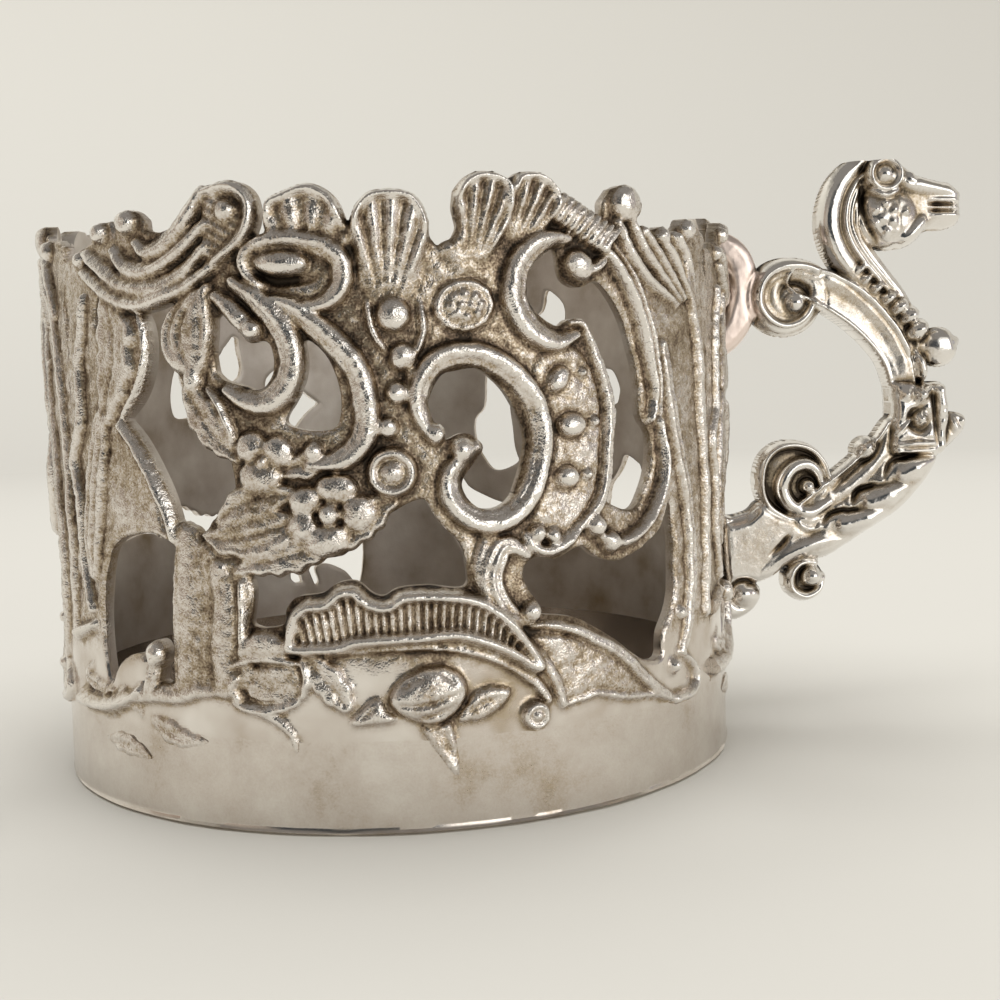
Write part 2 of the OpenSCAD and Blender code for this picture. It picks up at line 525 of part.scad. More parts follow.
// A rolled end: a disc across the handle with a groove round its eye
module roll(place, r, width) {
    c = spot(place);
    translate([c[0], 0, c[1]]) rotate([90, 0, 0]) rotate_extrude() polygon([[0, -width / 2],
        [r * 0.3, -width / 2], [r * 0.42, -width * 0.38], [r * 0.55, -width * 0.36],
        [r * 0.72, -width * 0.46], [r * 0.9, -width * 0.44], [r, -width * 0.3], [r, width * 0.3],
        [r * 0.9, width * 0.44], [r * 0.72, width * 0.46], [r * 0.55, width * 0.36],
        [r * 0.42, width * 0.38], [r * 0.3, width / 2], [0, width / 2]]);
}
strap_shares = [[42.7, 87.5], [47.9, 85], [55.9, 79.2], [64.9, 72.5], [71.5, 67.5]];
low_strap_shares = [[69.4, 52.2], [63, 51.4], [55, 49.4], [44.1, 46.9]];
module handle_scroll() {
    color("silver") {
        bar(strap_shares, strap_w, strap_d * 0.8, [0.8, 0.95, 1, 1, 0.9], [0.5, 0.9, 1, 1, 0.9]);
        bar(low_strap_shares, strap_w, strap_d * 0.7, [0.9, 1, 1, 0.9], [0.75, 0.9, 0.9, 0.75], steps = 2);
    }
}
top_volute_shares = [28.2, 83.1];
top_volute_r = 3.9;
module top_volute() {
    color("silver") roll(top_volute_shares, top_volute_r, strap_w * 0.95);
}
inner_volute_r = 3.9;
inner_volute_shares = [29.2, 47.8];
module inner_volute() {
    color("silver") roll(inner_volute_shares, inner_volute_r, strap_w * 0.95);
}
lower_volute_r = 2.2;
lower_volute_shares = [[36.2, 28.4], [8.5, 24.5]];
module lower_volute() {
    color("silver") {
        roll(lower_volute_shares[0], lower_volute_r, strap_w * 0.9);
        roll(lower_volute_shares[1], lower_volute_r, strap_w * 0.8);
    }
}
neck_shares = [[82.9, 67.5], [82.2, 74.1], [76.6, 79.4], [69, 84], [61.4, 88.2], [54.2, 92.8],
    [50, 97.9], [50.3, 104.8]];
neck_w = head_w * 0.75;
neck_width_shares = [0.7, 0.75, 0.85, 0.95, 1, 1, 1, 0.7];
module thumb_neck() {
    color("silver") bar(neck_shares, neck_w, strap_d * 0.85, neck_width_shares,
        [0.8, 0.85, 0.85, 0.85, 0.9, 1, 1, 0.7], steps = 2);
}
head_shares = [[57.6, 101.6], [63.5, 100.9], [70, 100.9], [76.6, 100.9], [82.2, 101.8],
    [88.8, 101.9], [96, 101.2]];
head_d = 10;
mouth_shares = [83, 100.8];
mouth_h = 0.6;
eye_shares = [66, 105.4];
eye_r = 1.8;
module thumb_head() {
    color("silver") difference() {
        union() {
            bar(head_shares, head_w, head_d, [0.6, 0.9, 1, 0.85, 0.55, 0.45, 0.3],
                [0.6, 0.95, 1, 0.76, 0.48, 0.4, 0.26], steps = 2);
            for (side = [-1, 1])
                translate([hx(eye_shares[0]), side * head_w * 0.24, hz(eye_shares[1])]) sphere(r = eye_r);
        }
        translate([hx(mouth_shares[0]), -head_w, hz(mouth_shares[1]) - mouth_h / 2])
            cube([handle_reach, 2 * head_w, mouth_h]);
    }
}
// A dome on each flat side of a bar at a place in the plane of the handle
flat_share = sin(67.5);
module side_domes(place, half_w, r, h) {
    for (side = [0, 1]) mirror([0, side, 0])
        translate([place[0], -half_w * flat_share - seat, place[1]]) rotate([90, 0, 0]) dome(r, h);
}
neck_bead_count = 7;
neck_bead_r = 0.85;
module neck_beads() {
    color("silver") for (i = [0:neck_bead_count - 1]) {
        f = mid(0.14, 0.66, i / (neck_bead_count - 1));
        side_domes(spot(along(neck_shares, f)), along(neck_width_shares, f) * neck_w / 2,
            neck_bead_r * mid(1, 0.4, i / (neck_bead_count - 1)), dome_h * mid(0.8, 0.4, f));
    }
}
boss_r = 1.9;
boss_h = 2.3;
boss_shares = [89.2, 72.8];
module boss() {
    color("silver") translate([hx(boss_shares[0]), 0, hz(boss_shares[1])])
        rotate([0, 90, 0]) rotate_extrude() polygon([[0, 0], [boss_r * 0.8, 0], [boss_r, boss_h * 0.25], [boss_r * 0.9, boss_h * 0.5],
        [boss_r * 0.5, boss_h * 0.78], [boss_r * 0.25, boss_h * 0.86], [0, boss_h]]);
}
collar_shares = [[78.7, 66.2], [78.7, 60.7], [78.7, 55]];
collar_w = strap_w * 1.05;
collar_d = 5.6;
collar_bead_r = 0.9;
module collar() {
    color("silver") {
        bar(collar_shares, collar_w, collar_d, [0.9, 1, 0.9], [0.85, 1, 0.85], steps = 1);
        side_domes(spot(collar_shares[1]), collar_w / 2, collar_bead_r, dome_h * 0.5);
    }
}
spur_shares = [[89.2, 54], [93.5, 55], [100, 57.3]];
spur_w = 3;
spur_d = 3.2;
module spur() {
    color("silver") bar(spur_shares, spur_w, spur_d, [1, 0.8, 0.25], [1, 0.8, 0.2], steps = 2);
}
leaf_shares = [[80.8, 53.3], [78, 48.3], [69.4, 43.9], [58, 40.4], [47.2, 37.4], [41, 36.2]];
leaf_w = strap_w * 0.95;
leaf_width_shares = [0.85, 1, 1, 0.95, 0.8, 0.6];
leaf_lobe_r = 1.3;
module acanthus_leaf() {
    color("silver") {
        bar(leaf_shares, leaf_w, strap_d, leaf_width_shares, [0.8, 0.9, 0.95, 0.9, 0.8, 0.65], steps = 2);
        for (f = [0.25, 0.5, 0.75])
            side_domes(spot(along(leaf_shares, f)), along(leaf_width_shares, f) * leaf_w / 2, leaf_lobe_r,
                dome_h * 0.5);
    }
}
bracket_shares = [[38.2, 36.5], [25.8, 36], [11.9, 35.3], [2.2, 34.7]];
bracket_w = strap_w * 0.9;
bracket_d = 7;
module lower_bracket() {
    color("silver") bar(bracket_shares, bracket_w, bracket_d, [0.7, 0.8, 0.9, 1], [0.5, 0.7, 0.88, 1],
        steps = 1);
}
ear_r = 7;
ear_hole_r = 4.4;
ear_w = strap_w * 0.65;
module ear_strap() {
    tip = spot(top_volute_shares)[0] - top_volute_r - joint_room;
    color("silver") difference() {
        translate([tip - ear_r, ear_w / 2, hz(top_volute_shares[1])]) rotate([90, 0, 0])
            linear_extrude(ear_w) difference() {
                circle(r = ear_r, $fn = wall_fn);
                translate([-ear_r * 0.16, ear_r * 0.08]) circle(r = ear_hole_r);
            }
        cylinder(r = r_out + seat, h = crest_h + handle_reach, $fn = wall_fn);
    }
}

base_plate();
base_band();
front_wall();
right_wall();
left_wall();
crest_fronds();
crest_curls();
crest_lobes();
crest_double_shell();
rope_scrolls();
spiral_volutes();
upper_c_scrolls();
s_scrolls();
inner_c_scrolls();
outer_c_scrolls();
large_c_scrolls();
dome_columns();
cartouches();
oval_beads();
rosettes();
flowers();
buds();
spray_leaves();
side_leaves();
pendant_leaves();
post_curls();
comb_shells();
lower_ribs();
leaf_panels();
edge_columns();
band_flowers();
corner_scrolls();
handle_scroll();
top_volute();
inner_volute();
lower_volute();
thumb_neck();
thumb_head();
neck_beads();
boss();
collar();
spur();
acanthus_leaf();
lower_bracket();
ear_strap();
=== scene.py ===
# %% [markdown]
# This lesson dresses a silver holder for a tea glass: a polished band, a wall of cast openwork and a
# cast scroll handle with an animal's head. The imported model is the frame, so every size here is read
# from it, and each new piece stands where the node that it replaces stands.

# %% Load the frame
import json
import math
import bmesh
import bpy
import numpy as np
from mathutils import Matrix, Vector

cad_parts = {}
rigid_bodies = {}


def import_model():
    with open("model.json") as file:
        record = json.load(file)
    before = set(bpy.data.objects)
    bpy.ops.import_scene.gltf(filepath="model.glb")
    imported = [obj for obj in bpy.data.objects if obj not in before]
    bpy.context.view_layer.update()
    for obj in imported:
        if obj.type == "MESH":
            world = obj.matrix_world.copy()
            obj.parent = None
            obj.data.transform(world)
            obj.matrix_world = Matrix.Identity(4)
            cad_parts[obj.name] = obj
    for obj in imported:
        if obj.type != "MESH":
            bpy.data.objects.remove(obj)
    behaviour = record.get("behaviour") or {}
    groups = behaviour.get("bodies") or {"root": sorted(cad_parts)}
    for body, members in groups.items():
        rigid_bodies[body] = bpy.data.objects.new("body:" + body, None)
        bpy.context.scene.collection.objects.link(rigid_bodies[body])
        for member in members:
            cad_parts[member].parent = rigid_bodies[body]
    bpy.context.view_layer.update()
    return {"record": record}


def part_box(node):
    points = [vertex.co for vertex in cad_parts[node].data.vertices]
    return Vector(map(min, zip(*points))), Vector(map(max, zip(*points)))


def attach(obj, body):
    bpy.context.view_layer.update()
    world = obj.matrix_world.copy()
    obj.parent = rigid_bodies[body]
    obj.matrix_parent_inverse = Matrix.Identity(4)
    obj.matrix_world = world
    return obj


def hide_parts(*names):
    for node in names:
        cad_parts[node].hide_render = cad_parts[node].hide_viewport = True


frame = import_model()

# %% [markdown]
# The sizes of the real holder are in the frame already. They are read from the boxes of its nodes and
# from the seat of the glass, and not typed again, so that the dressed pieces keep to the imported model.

MM = 0.001
r_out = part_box("base_band")[1].x / MM
band_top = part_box("base_band")[1].z / MM
plate_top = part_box("base_plate")[1].z / MM
plate_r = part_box("base_plate")[1].x / MM
crest_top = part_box("front_wall")[1].z / MM
handle_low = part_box("lower_volute")[0] / MM
handle_high = Vector((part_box("spur")[1].x, 0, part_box("thumb_head")[1].z)) / MM
seats = [m for m in frame["record"]["mounts"] if m["name"] == "glass_seat"]
r_in = seats[0]["dims"]["r_mm"]
print(f"wall {r_in:.2f} to {r_out:.2f} mm, band {band_top:.1f} mm high, crest {crest_top:.1f} mm")

# %% [markdown]
# The camera comes first, because the ornament is drawn where the photograph shows it. A ray from the
# eye through a point of the picture meets the wall's cylinder once on the near side, and that meeting
# gives the place on the metal. The lens is set from the same numbers.

# %% The camera
eye = Vector((0, -154.4, 39.5))
look_down, look_right, roll = (math.radians(a) for a in (5.07, 4.21, -1.64))
focal_px = 1400
picture_px = 1000
sensor_mm = 36

ahead = Vector((math.sin(look_right) * math.cos(look_down), math.cos(look_right) * math.cos(look_down),
                -math.sin(look_down)))
level = Vector((math.cos(look_right), -math.sin(look_right), 0))
right = math.cos(roll) * level + math.sin(roll) * level.cross(ahead)
above = right.cross(ahead)
camera_data = bpy.data.cameras.new("camera")
camera_data.sensor_width = sensor_mm
camera_data.lens = focal_px * sensor_mm / picture_px
camera_data.clip_start = 0.005
camera = bpy.data.objects.new("camera", camera_data)
camera.matrix_world = Matrix.Translation(eye * MM) @ Matrix((right, above, -ahead)).transposed().to_4x4()
bpy.context.scene.collection.objects.link(camera)
bpy.context.scene.camera = camera
print(f"lens {camera_data.lens:.1f} mm")


# %% [markdown]
# The wall is a cylinder and the handle lies in one plane, so two short functions bring any point of the
# picture to its place on the metal. A third one bends a smooth line through a few points, as a strip of
# wire would run, and saves drawing every bend point by point.

# %% From a point of the picture to the metal
relief_mid = 0.7


def rays(points):
    q = (np.array(points, float) - picture_px / 2) / focal_px
    d = np.array(ahead) + q[:, :1] * np.array(right) - q[:, 1:] * np.array(above)
    return np.array(eye), d


def on_wall(points):
    """Arc length from the front and height on the wall, for points of the picture."""
    e, d = rays(points)
    a = d[:, 0] ** 2 + d[:, 1] ** 2
    b = e[0] * d[:, 0] + e[1] * d[:, 1]
    c = e[0] ** 2 + e[1] ** 2 - (r_out + relief_mid) ** 2
    t = (-b - np.sqrt(np.maximum(b * b - a * c, 0))) / a
    hit = e + t[:, None] * d
    return np.stack([np.arctan2(hit[:, 0], -hit[:, 1]) * r_out, hit[:, 2]], 1)


def on_handle(points):
    """Reach and height in the plane of the handle, y = 0."""
    e, d = rays(points)
    hit = e - (e[1] / d[:, 1])[:, None] * d
    return hit[:, [0, 2]]


def curve(points, steps=5, closed=False):
    """A smooth line through a few points."""
    p = np.array(points, float)
    if closed:
        p = np.concatenate([p[-1:], p, p[:2]])
    else:
        p = np.concatenate([2 * p[:1] - p[1:2], p, 2 * p[-1:] - p[-2:-1]])
    t = np.linspace(0, 1, steps, endpoint=False)[:, None]
    parts = [(2 * b + (c - a) * t + (2 * a - 5 * b + 4 * c - d) * t ** 2
              + (3 * b - a - 3 * c + d) * t ** 3) / 2
             for a, b, c, d in zip(p[:-3], p[1:-2], p[2:-1], p[3:])]
    return np.concatenate(parts + ([] if closed else [p[-2:-1]]))


# %% [markdown]
# Cast ornament is modelled as a sculptor works in clay: every rib, leaf, shell and bead is a stroke
# that raises a sheet along a line. A grid of heights holds the result, so that forms melt into each
# other as they do in cast silver. A second grid remembers which ornament each spot belongs to, and a
# third one how far inside the metal it lies.

# %% Profiles across and along a stroke
ROUND = ((0, 1, 1),)
ROLLED = ((-0.2, 0.8, 1), (0.78, 0.24, 0.55))
DOUBLE = ((-0.5, 0.52, 1), (0.52, 0.48, 0.85))
TRIPLE = ((-0.68, 0.34, 0.85), (0, 0.36, 1), (0.68, 0.34, 0.8))
CHANNEL = ((-0.84, 0.16, 1), (0.84, 0.16, 1), (0, 3, 0.66))
FEATHERS = ((-0.45, 0.55, 0.96), (0.18, 0.2, 1), (0.44, 0.14, 0.94), (0.65, 0.13, 0.86), (0.86, 0.15, 0.76))
FULL = (0.45, 0.85, 1, 1, 1, 0.85, 0.45)
TAIL = (1, 1, 0.92, 0.8, 0.6, 0.3)
WAXING = (0.35, 0.7, 0.9, 1, 1, 0.95, 0.75)
EVEN = (0.8, 1, 1, 0.8)
LEAF = (0.15, 0.7, 1, 0.9, 0.6, 0.12)


def lobed(u, lobes):
    """Height across a rib: a few round ridges side by side."""
    return np.max([h * np.sqrt(np.clip(1 - ((u - c) / w) ** 2, 0, 1)) for c, w, h in lobes], 0)


def taper_at(taper, along):
    return np.interp(along, np.linspace(0, 1, len(taper)), taper)


def soft_max(a, b, k):
    h = np.clip(0.5 + 0.5 * (a - b) / k, 0, 1)
    return b + (a - b) * h + k * h * (1 - h)


def blur(a, size, times=2):
    """A box blur in both directions, run a few times."""
    k = np.ones(2 * size + 1) / (2 * size + 1)
    for axis in (0, 1) * times:
        padded = np.pad(a, [(size, size) if i == axis else (0, 0) for i in (0, 1)], mode="edge")
        a = np.apply_along_axis(lambda row: np.convolve(row, k, "valid"), axis, padded)
    return a


# %% [markdown]
# A sheet is a grid of numbers and not yet a mesh. Sculpting by hand would also give soft forms, but it
# can't be changed by a number later, and numpy works out all heights under a stroke at once. The sheet
# knows its place on the metal, the distance of each spot to a line, and how a form is laid on it.


# %% The sheet
class Sheet:
    """A sheet of heights in millimetres, raised by strokes that are drawn in the picture."""

    def __init__(self, low, high, cell, to_plane, px_mm, foot):
        self.x_lines = np.linspace(low[0], high[0], round((high[0] - low[0]) / cell) + 1)
        self.y_lines = np.linspace(low[1], high[1], round((high[1] - low[1]) / cell) + 1)
        self.X, self.Y = np.meshgrid(self.x_lines, self.y_lines)
        self.height = np.zeros(self.X.shape)
        self.owner = np.zeros(self.X.shape, int)
        self.cover = np.full(self.X.shape, -9.0)
        self.names = ["ground"]
        self.cell, self.to_plane, self.px_mm, self.foot = cell, to_plane, px_mm, foot

    def window(self, low, high):
        """The part of the sheet round a form."""
        c0, c1 = np.searchsorted(self.x_lines, [low[0], high[0]])
        r0, r1 = np.searchsorted(self.y_lines, [low[1], high[1]])
        return np.s_[max(r0 - 1, 0):r1 + 1, max(c0 - 1, 0):c1 + 1]

    def track(self, path, reach):
        """Signed distance to a line, left of its direction positive, and the share of its length."""
        win = self.window(path.min(0) - reach, path.max(0) + reach)
        x, y = self.X[win], self.Y[win]
        near = np.full(x.shape, 1e9)
        side, along, total = np.zeros(x.shape), np.zeros(x.shape), 0.0
        for (ax, ay), (bx, by) in zip(path[:-1], path[1:]):
            dx, dy = bx - ax, by - ay
            length = math.hypot(dx, dy) + 1e-9
            t = np.clip(((x - ax) * dx + (y - ay) * dy) / length ** 2, 0, 1)
            gap = np.hypot(x - ax - t * dx, y - ay - t * dy)
            closer = gap < near
            near = np.where(closer, gap, near)
            side = np.where(closer, np.sign(dx * (y - ay) - dy * (x - ax)), side)
            along = np.where(closer, total + t * length, along)
            total += length
        return win, near * side, along / total, total

    def inside_of(self, path, reach=1.5):
        """Distance to a closed outline, positive inside it."""
        ring = np.concatenate([path, path[:1]])
        win, gap, _, _ = self.track(ring, reach)
        x, y = self.X[win], self.Y[win]
        odd = np.zeros(x.shape, bool)
        for (ax, ay), (bx, by) in zip(ring[:-1], ring[1:]):
            if ay != by:
                odd ^= ((ay > y) != (by > y)) & (x < (bx - ax) * (y - ay) / (by - ay) + ax)
        return win, np.where(odd, abs(gap), -abs(gap))

    def lay(self, node, win, high, inside, groove=0.14, soft=0.26, reach=0.3):
        """Adds a form to the sheet, and cuts a groove into what lies beside it."""
        if node not in self.names:
            self.names.append(node)
        here = self.height[win]
        on = inside > 0
        sink = groove * np.exp(-(np.minimum(inside, 0) / reach) ** 2)
        self.height[win] = np.where(on, soft_max(here, high, soft), here - sink)
        self.owner[win] = np.where(on & (high > here - 0.2), self.names.index(node), self.owner[win])
        self.cover[win] = np.maximum(self.cover[win], inside)


# %% [markdown]
# The strokes follow the ways of a silversmith. A rib is pushed up along a line, a leaf gets a midrib and
# veins, and a dome is punched at one point. Each of them gets its height from the distance to its line
# or its centre, so it stays smooth whatever the grid.


# %% The strokes
class Strokes(Sheet):
    """The forms that can be laid on a sheet."""

    def rib(self, node, points, width, high, lobes=ROUND, taper=FULL, flip=False, groove=0.14):
        """A rib along points of the picture; its width is in pixels of the picture."""
        half = width / self.px_mm / 2
        win, gap, along, _ = self.track(self.to_plane(curve(points)), half + 1)
        t = taper_at(taper, along)
        u = gap / (half * t) * (-1 if flip else 1)
        shape = high * np.sqrt(t) * (self.foot + (1 - self.foot) * lobed(u, lobes))
        self.lay(node, win, shape, half * t - abs(gap), groove)

    def leaf(self, node, points, width, high, vein=7, taper=LEAF, slant=1.2, lobes_px=22, groove=0.1):
        """A leaf along its midrib, with a raised and lobed edge and slanting side veins."""
        half = width / self.px_mm / 2
        win, gap, along, length = self.track(self.to_plane(curve(points)), half + 1)
        run = along * length
        edge = 1 + 0.1 * np.cos(2 * math.pi * (run - 0.3 * abs(gap)) * self.px_mm / lobes_px)
        wide = half * taper_at(taper, along) * edge
        u = np.clip(abs(gap) / np.maximum(wide, 0.01), 0, 2)
        veins = np.cos(2 * math.pi * (run - slant * abs(gap)) * self.px_mm / vein)
        shape = 0.62 * np.sqrt(np.clip(1 - u ** 2, 0, 1)) + 0.3 * np.exp(-((u - 0.72) / 0.16) ** 2)
        shape = shape + 0.14 * veins * (u < 0.9) - 0.3 * np.exp(-(gap / 0.16) ** 2)
        self.lay(node, win, high * shape, wide - abs(gap), groove)

    def dome(self, node, centre, radius, high, ring=0.0, stretch=1.0, turn=0.0, groove=0.16):
        """A round or oval boss, with an optional groove that leaves a bead inside a ring."""
        c = self.to_plane([centre])[0]
        r = radius / self.px_mm
        reach = r * max(stretch, 1) + 1
        win = self.window(c - reach, c + reach)
        a, b = math.cos(math.radians(turn)), math.sin(math.radians(turn))
        x, y = self.X[win] - c[0], self.Y[win] - c[1]
        d = np.hypot((a * x + b * y) / stretch, b * x - a * y)
        shape = self.foot + (1 - self.foot) * np.sqrt(np.clip(1 - (d / r) ** 2, 0, 1))
        if ring:
            outer = lobed((d / r - (1 + ring) / 2) / ((1 - ring) / 2), ROUND)
            bead = 0.95 * np.sqrt(np.clip(1 - (d / (ring * r)) ** 2, 0, 1))
            shape = self.foot + (1 - self.foot) * np.where(d > ring * r, outer, bead)
        self.lay(node, win, high * shape, r - d, groove)


# %% [markdown]
# Wide forms are drawn by their outline and not by their middle. A fan has flutes that spread from one
# focus, as a shell has, and a field can be chased with parallel lines. A carved line takes away from
# what is there, like a graver, and belongs to no ornament of its own.


# %% Forms inside an outline
class Panels(Strokes):
    """The forms that are drawn by an outline, and the carved line."""

    def fan(self, node, outline, focus, high, pitch, rim=0.0, depth=0.45, smooth=4):
        """A shell whose flutes spread from a focus, with a rolled rim along its outline."""
        win, inside = self.inside_of(self.to_plane(curve(outline, smooth, closed=True)))
        f = self.to_plane([focus])[0]
        x, y = self.X[win] - f[0], self.Y[win] - f[1]
        flutes = 0.5 + 0.5 * np.cos(2 * math.pi * np.degrees(np.arctan2(x, y)) / pitch)
        far = np.hypot(x, y)
        far = far / far[inside > 0].max()
        fade = np.clip((far - 0.2) / 0.5, 0, 1)
        shape = high * (1 - depth * flutes) * np.clip(inside / 0.5, 0, 1) * (0.06 + 0.79 * fade)
        if rim:
            w = rim / self.px_mm
            over = np.sqrt(np.clip(1 - ((inside - w / 2) / (w / 2)) ** 2, 0, 1))
            shape = soft_max(shape, 1.15 * high * over * np.clip((far - 0.6) / 0.2, 0, 1), 0.1)
        self.lay(node, win, shape, inside, 0.0)

    def field(self, node, outline, high, pitch=0.0, heading=0.0, depth=0.25, smooth=4, edge=0.5):
        """A raised field, with optional parallel chasing across a heading in degrees."""
        win, inside = self.inside_of(self.to_plane(curve(outline, smooth, closed=True)))
        e = np.clip(1 - inside / edge, 0, 1)
        shape = high * (self.foot + (1 - self.foot) * np.sqrt(1 - e ** 2))
        if pitch:
            a = math.radians(heading)
            across = self.X[win] * math.cos(a) + self.Y[win] * math.sin(a)
            shape = shape * (1 - depth * (0.5 + 0.5 * np.cos(2 * math.pi * across * self.px_mm / pitch)))
        self.lay(node, win, shape, inside)

    def carve(self, points, width, depth):
        """A hollow cut along a line into what is already there."""
        half = width / self.px_mm / 2
        win, gap, along, _ = self.track(self.to_plane(curve(points)), half * 2)
        fade = np.interp(along, (0, 0.2, 0.6, 1), (0.35, 1, 0.9, 0.1))
        self.height[win] -= depth * fade * np.exp(-(gap / half / (0.5 + 0.5 * fade)) ** 2)


# %% [markdown]
# Two cells of one piece may not touch by a corner alone, because the solid would be pinched there and
# couldn't be printed or cut. Such corners are found and filled, or opened, before there is a mesh.


# %% No pinched corners
def untangle(cells):
    """No two cells of one kind may touch by a corner only, or the solid would pinch there."""
    for _ in range(60):
        a, b, c, d = cells[:-1, :-1], cells[:-1, 1:], cells[1:, :-1], cells[1:, 1:]
        down = (a == d) & (b != a) & (c != a)
        up = (b == c) & (a != b) & (d != b)
        if not (down.any() or up.any()):
            break
        for crossing, first, other in ((down, a, b), (up, b, a)):
            crossing = crossing & (first != -1)
            drop_it = crossing & (other == -1)
            first[drop_it] = -1
            keep_it = crossing & (other != -1)
            other[keep_it] = first[keep_it]
    return cells


# %% [markdown]
# A casting never comes out as crisp as its pattern, so the strokes are softened and a seeded noise
# roughens them. Then the sheet is cut: the cells in open air go, and the points along the rim slide
# onto it. That gives a smooth outline without a fine grid everywhere.


# %% Casting and cutting
class Casting(Panels):
    """A sheet of strokes that is softened, roughened and cut to its metal."""

    def cast(self, depth, grain_high, lump_high, seed):
        """Softens the strokes, roughens them a little, and notes how deep each spot lies."""
        draws = np.random.default_rng(seed)
        grain = blur(draws.standard_normal(self.X.shape), 1)
        lumps = blur(draws.standard_normal(self.X.shape), 5)
        rough = grain_high * grain / grain.std() + lump_high * lumps / lumps.std()
        self.height = depth * blur(self.height, 1, 1) + rough
        # How far each spot lies below its neighbours; the materials turn it into tarnish and painted shade
        # in the hollows.
        near_reach, wide_reach = 0.5, 1.3
        near_depth, wide_depth = 0.8, 2.0
        near = blur(self.height, round(near_reach / self.cell)) - self.height
        wide = blur(self.height, round(wide_reach / self.cell)) - self.height
        self.recess = np.clip(near / near_depth + wide / wide_depth, -1, 1)

    def nine(self, grid):
        """The sum over each point and its eight neighbours."""
        p = np.pad(grid, 1, mode="edge")
        rows, cols = grid.shape
        return sum(p[i:i + rows, j:j + cols] for i in range(3) for j in range(3))

    def sample(self, grid, x, y):
        """The value of a grid between its points."""
        c = np.clip((x - self.x_lines[0]) / (self.x_lines[1] - self.x_lines[0]), 0, grid.shape[1] - 1.001)
        r = np.clip((y - self.y_lines[0]) / (self.y_lines[1] - self.y_lines[0]), 0, grid.shape[0] - 1.001)
        i, j = r.astype(int), c.astype(int)
        v, u = r - i, c - j
        low = grid[i, j] * (1 - u) + grid[i, j + 1] * u
        return low * (1 - v) + (grid[i + 1, j] * (1 - u) + grid[i + 1, j + 1] * u) * v

    def cut(self, metal):
        """Keeps the cells where the distance into the metal is positive, and finds their rim."""
        solid = (metal[:-1, :-1] + metal[1:, 1:] + metal[:-1, 1:] + metal[1:, :-1]) > 0
        self.cells = untangle(np.where(solid, self.owner[:-1, :-1], -1))
        slope_y, slope_x = np.gradient(metal, self.y_lines, self.x_lines)
        rim = np.zeros(self.X.shape, bool)
        for rows in (np.s_[:-1], np.s_[1:]):
            for cols in (np.s_[:-1], np.s_[1:]):
                rim[rows, cols] |= self.cells < 0
        x, y = self.X, self.Y
        steps, least_slope, reach = 4, 0.4, 1.3 * self.cell
        for _ in range(steps):
            gap, across, up = (self.sample(grid, x, y) for grid in (metal, slope_x, slope_y))
            pull = np.where(rim, gap, 0) / np.maximum(across ** 2 + up ** 2, least_slope)
            x = np.clip(x - pull * across, self.X - reach, self.X + reach)
            y = np.clip(y - pull * up, self.Y - reach, self.Y + reach)
        self.place_x, self.place_y = x, y
        self.metal = self.sample(metal, x, y)
        inside = (metal > 0).astype(float)
        near = [self.nine(inside), self.nine(inside * self.height)]
        self.height = np.where((metal <= 0) & (near[0] > 0), near[1] / np.maximum(near[0], 1), self.height)
        print({name: int((self.cells == i).sum()) for i, name in enumerate(self.names)})


# %% [markdown]
# The openwork is one casting, soldered three times round the band. Here it is unrolled flat: across
# runs the arc length along the outside of the wall, and up runs the height. The low ornaments come
# first, and what lies on top comes later. One drawing then serves all three castings.

# %% The unrolled casting
castings = 3
lap = 0.04
ornament_low = 2.6
wall_cell = 0.163
wall_px_mm = 11.9
wall_foot = 0.2
half_arc = math.pi / castings * r_out + lap / 2
wall = Casting((-half_arc, ornament_low), (half_arc, crest_top), wall_cell, on_wall, wall_px_mm, wall_foot)
print("sheet of", wall.X.shape)

# %% [markdown]
# The wall is fullest at its foot. A fluted comb stands on two long ribs that end in a ball, and a smooth
# leaf with a double rim lies at the lower right. A rib with two ridges is one stroke with a double
# profile, because two strokes side by side wouldn't stay parallel so well.

# %% Foot of the wall
wall.field("leaf_panels", [(520, 640), (552, 636), (585, 640), (618, 655), (645, 680), (664, 694),
                           (640, 697), (602, 692), (573, 707), (560, 690), (545, 660)], 0.45, edge=0.8)
wall.rib("leaf_panels", [(531, 627), (556, 626), (580, 631), (600, 640), (618, 649), (634, 662), (646, 675),
                         (662, 689), (679, 699)], 13, 1.1, DOUBLE, WAXING)
wall.rib("leaf_panels", [(679, 699), (694, 692), (700, 676), (695, 660), (684, 652)], 13, 1.2, ROUND, TAIL)
wall.dome("leaf_panels", (679, 666), 9, 1.2)
wall.rib("leaf_panels", [(566, 706), (585, 700), (602, 694), (630, 697), (658, 695), (676, 700)], 8, 0.75,
         ROUND, EVEN)
wall.rib("lower_ribs", [(506, 626), (520, 635), (535, 648), (549, 665), (560, 685), (566, 706)], 11, 1.1,
         DOUBLE, WAXING)
wall.fan("comb_shells", [(284, 640), (290, 613), (305, 601), (322, 599), (336, 588), (355, 586), (371, 598),
                         (386, 601), (400, 592), (430, 590), (467, 592), (492, 601), (514, 618), (532, 640),
                         (546, 664), (536, 674), (506, 657), (462, 642), (420, 645), (360, 649), (341, 655),
                         (290, 656)], (425, 1180), 1.75, 0.82, rim=14, depth=0.85)
wall.rib("lower_ribs", [(322, 660), (340, 654), (370, 650), (400, 647), (431, 646), (462, 648), (486, 654),
                        (506, 662), (524, 672), (540, 685), (551, 700)], 13, 1.1, DOUBLE, WAXING)
wall.dome("lower_ribs", (538, 716), 15, 1.5, ring=0.55)
print(len(wall.names) - 1, "ornaments so far")

# %% [markdown]
# A bud with three leaves lies over the polished band. Such leaves are chased into the metal from the
# front, so each one is a low field with a line carved along its middle, and the bud is a higher one.

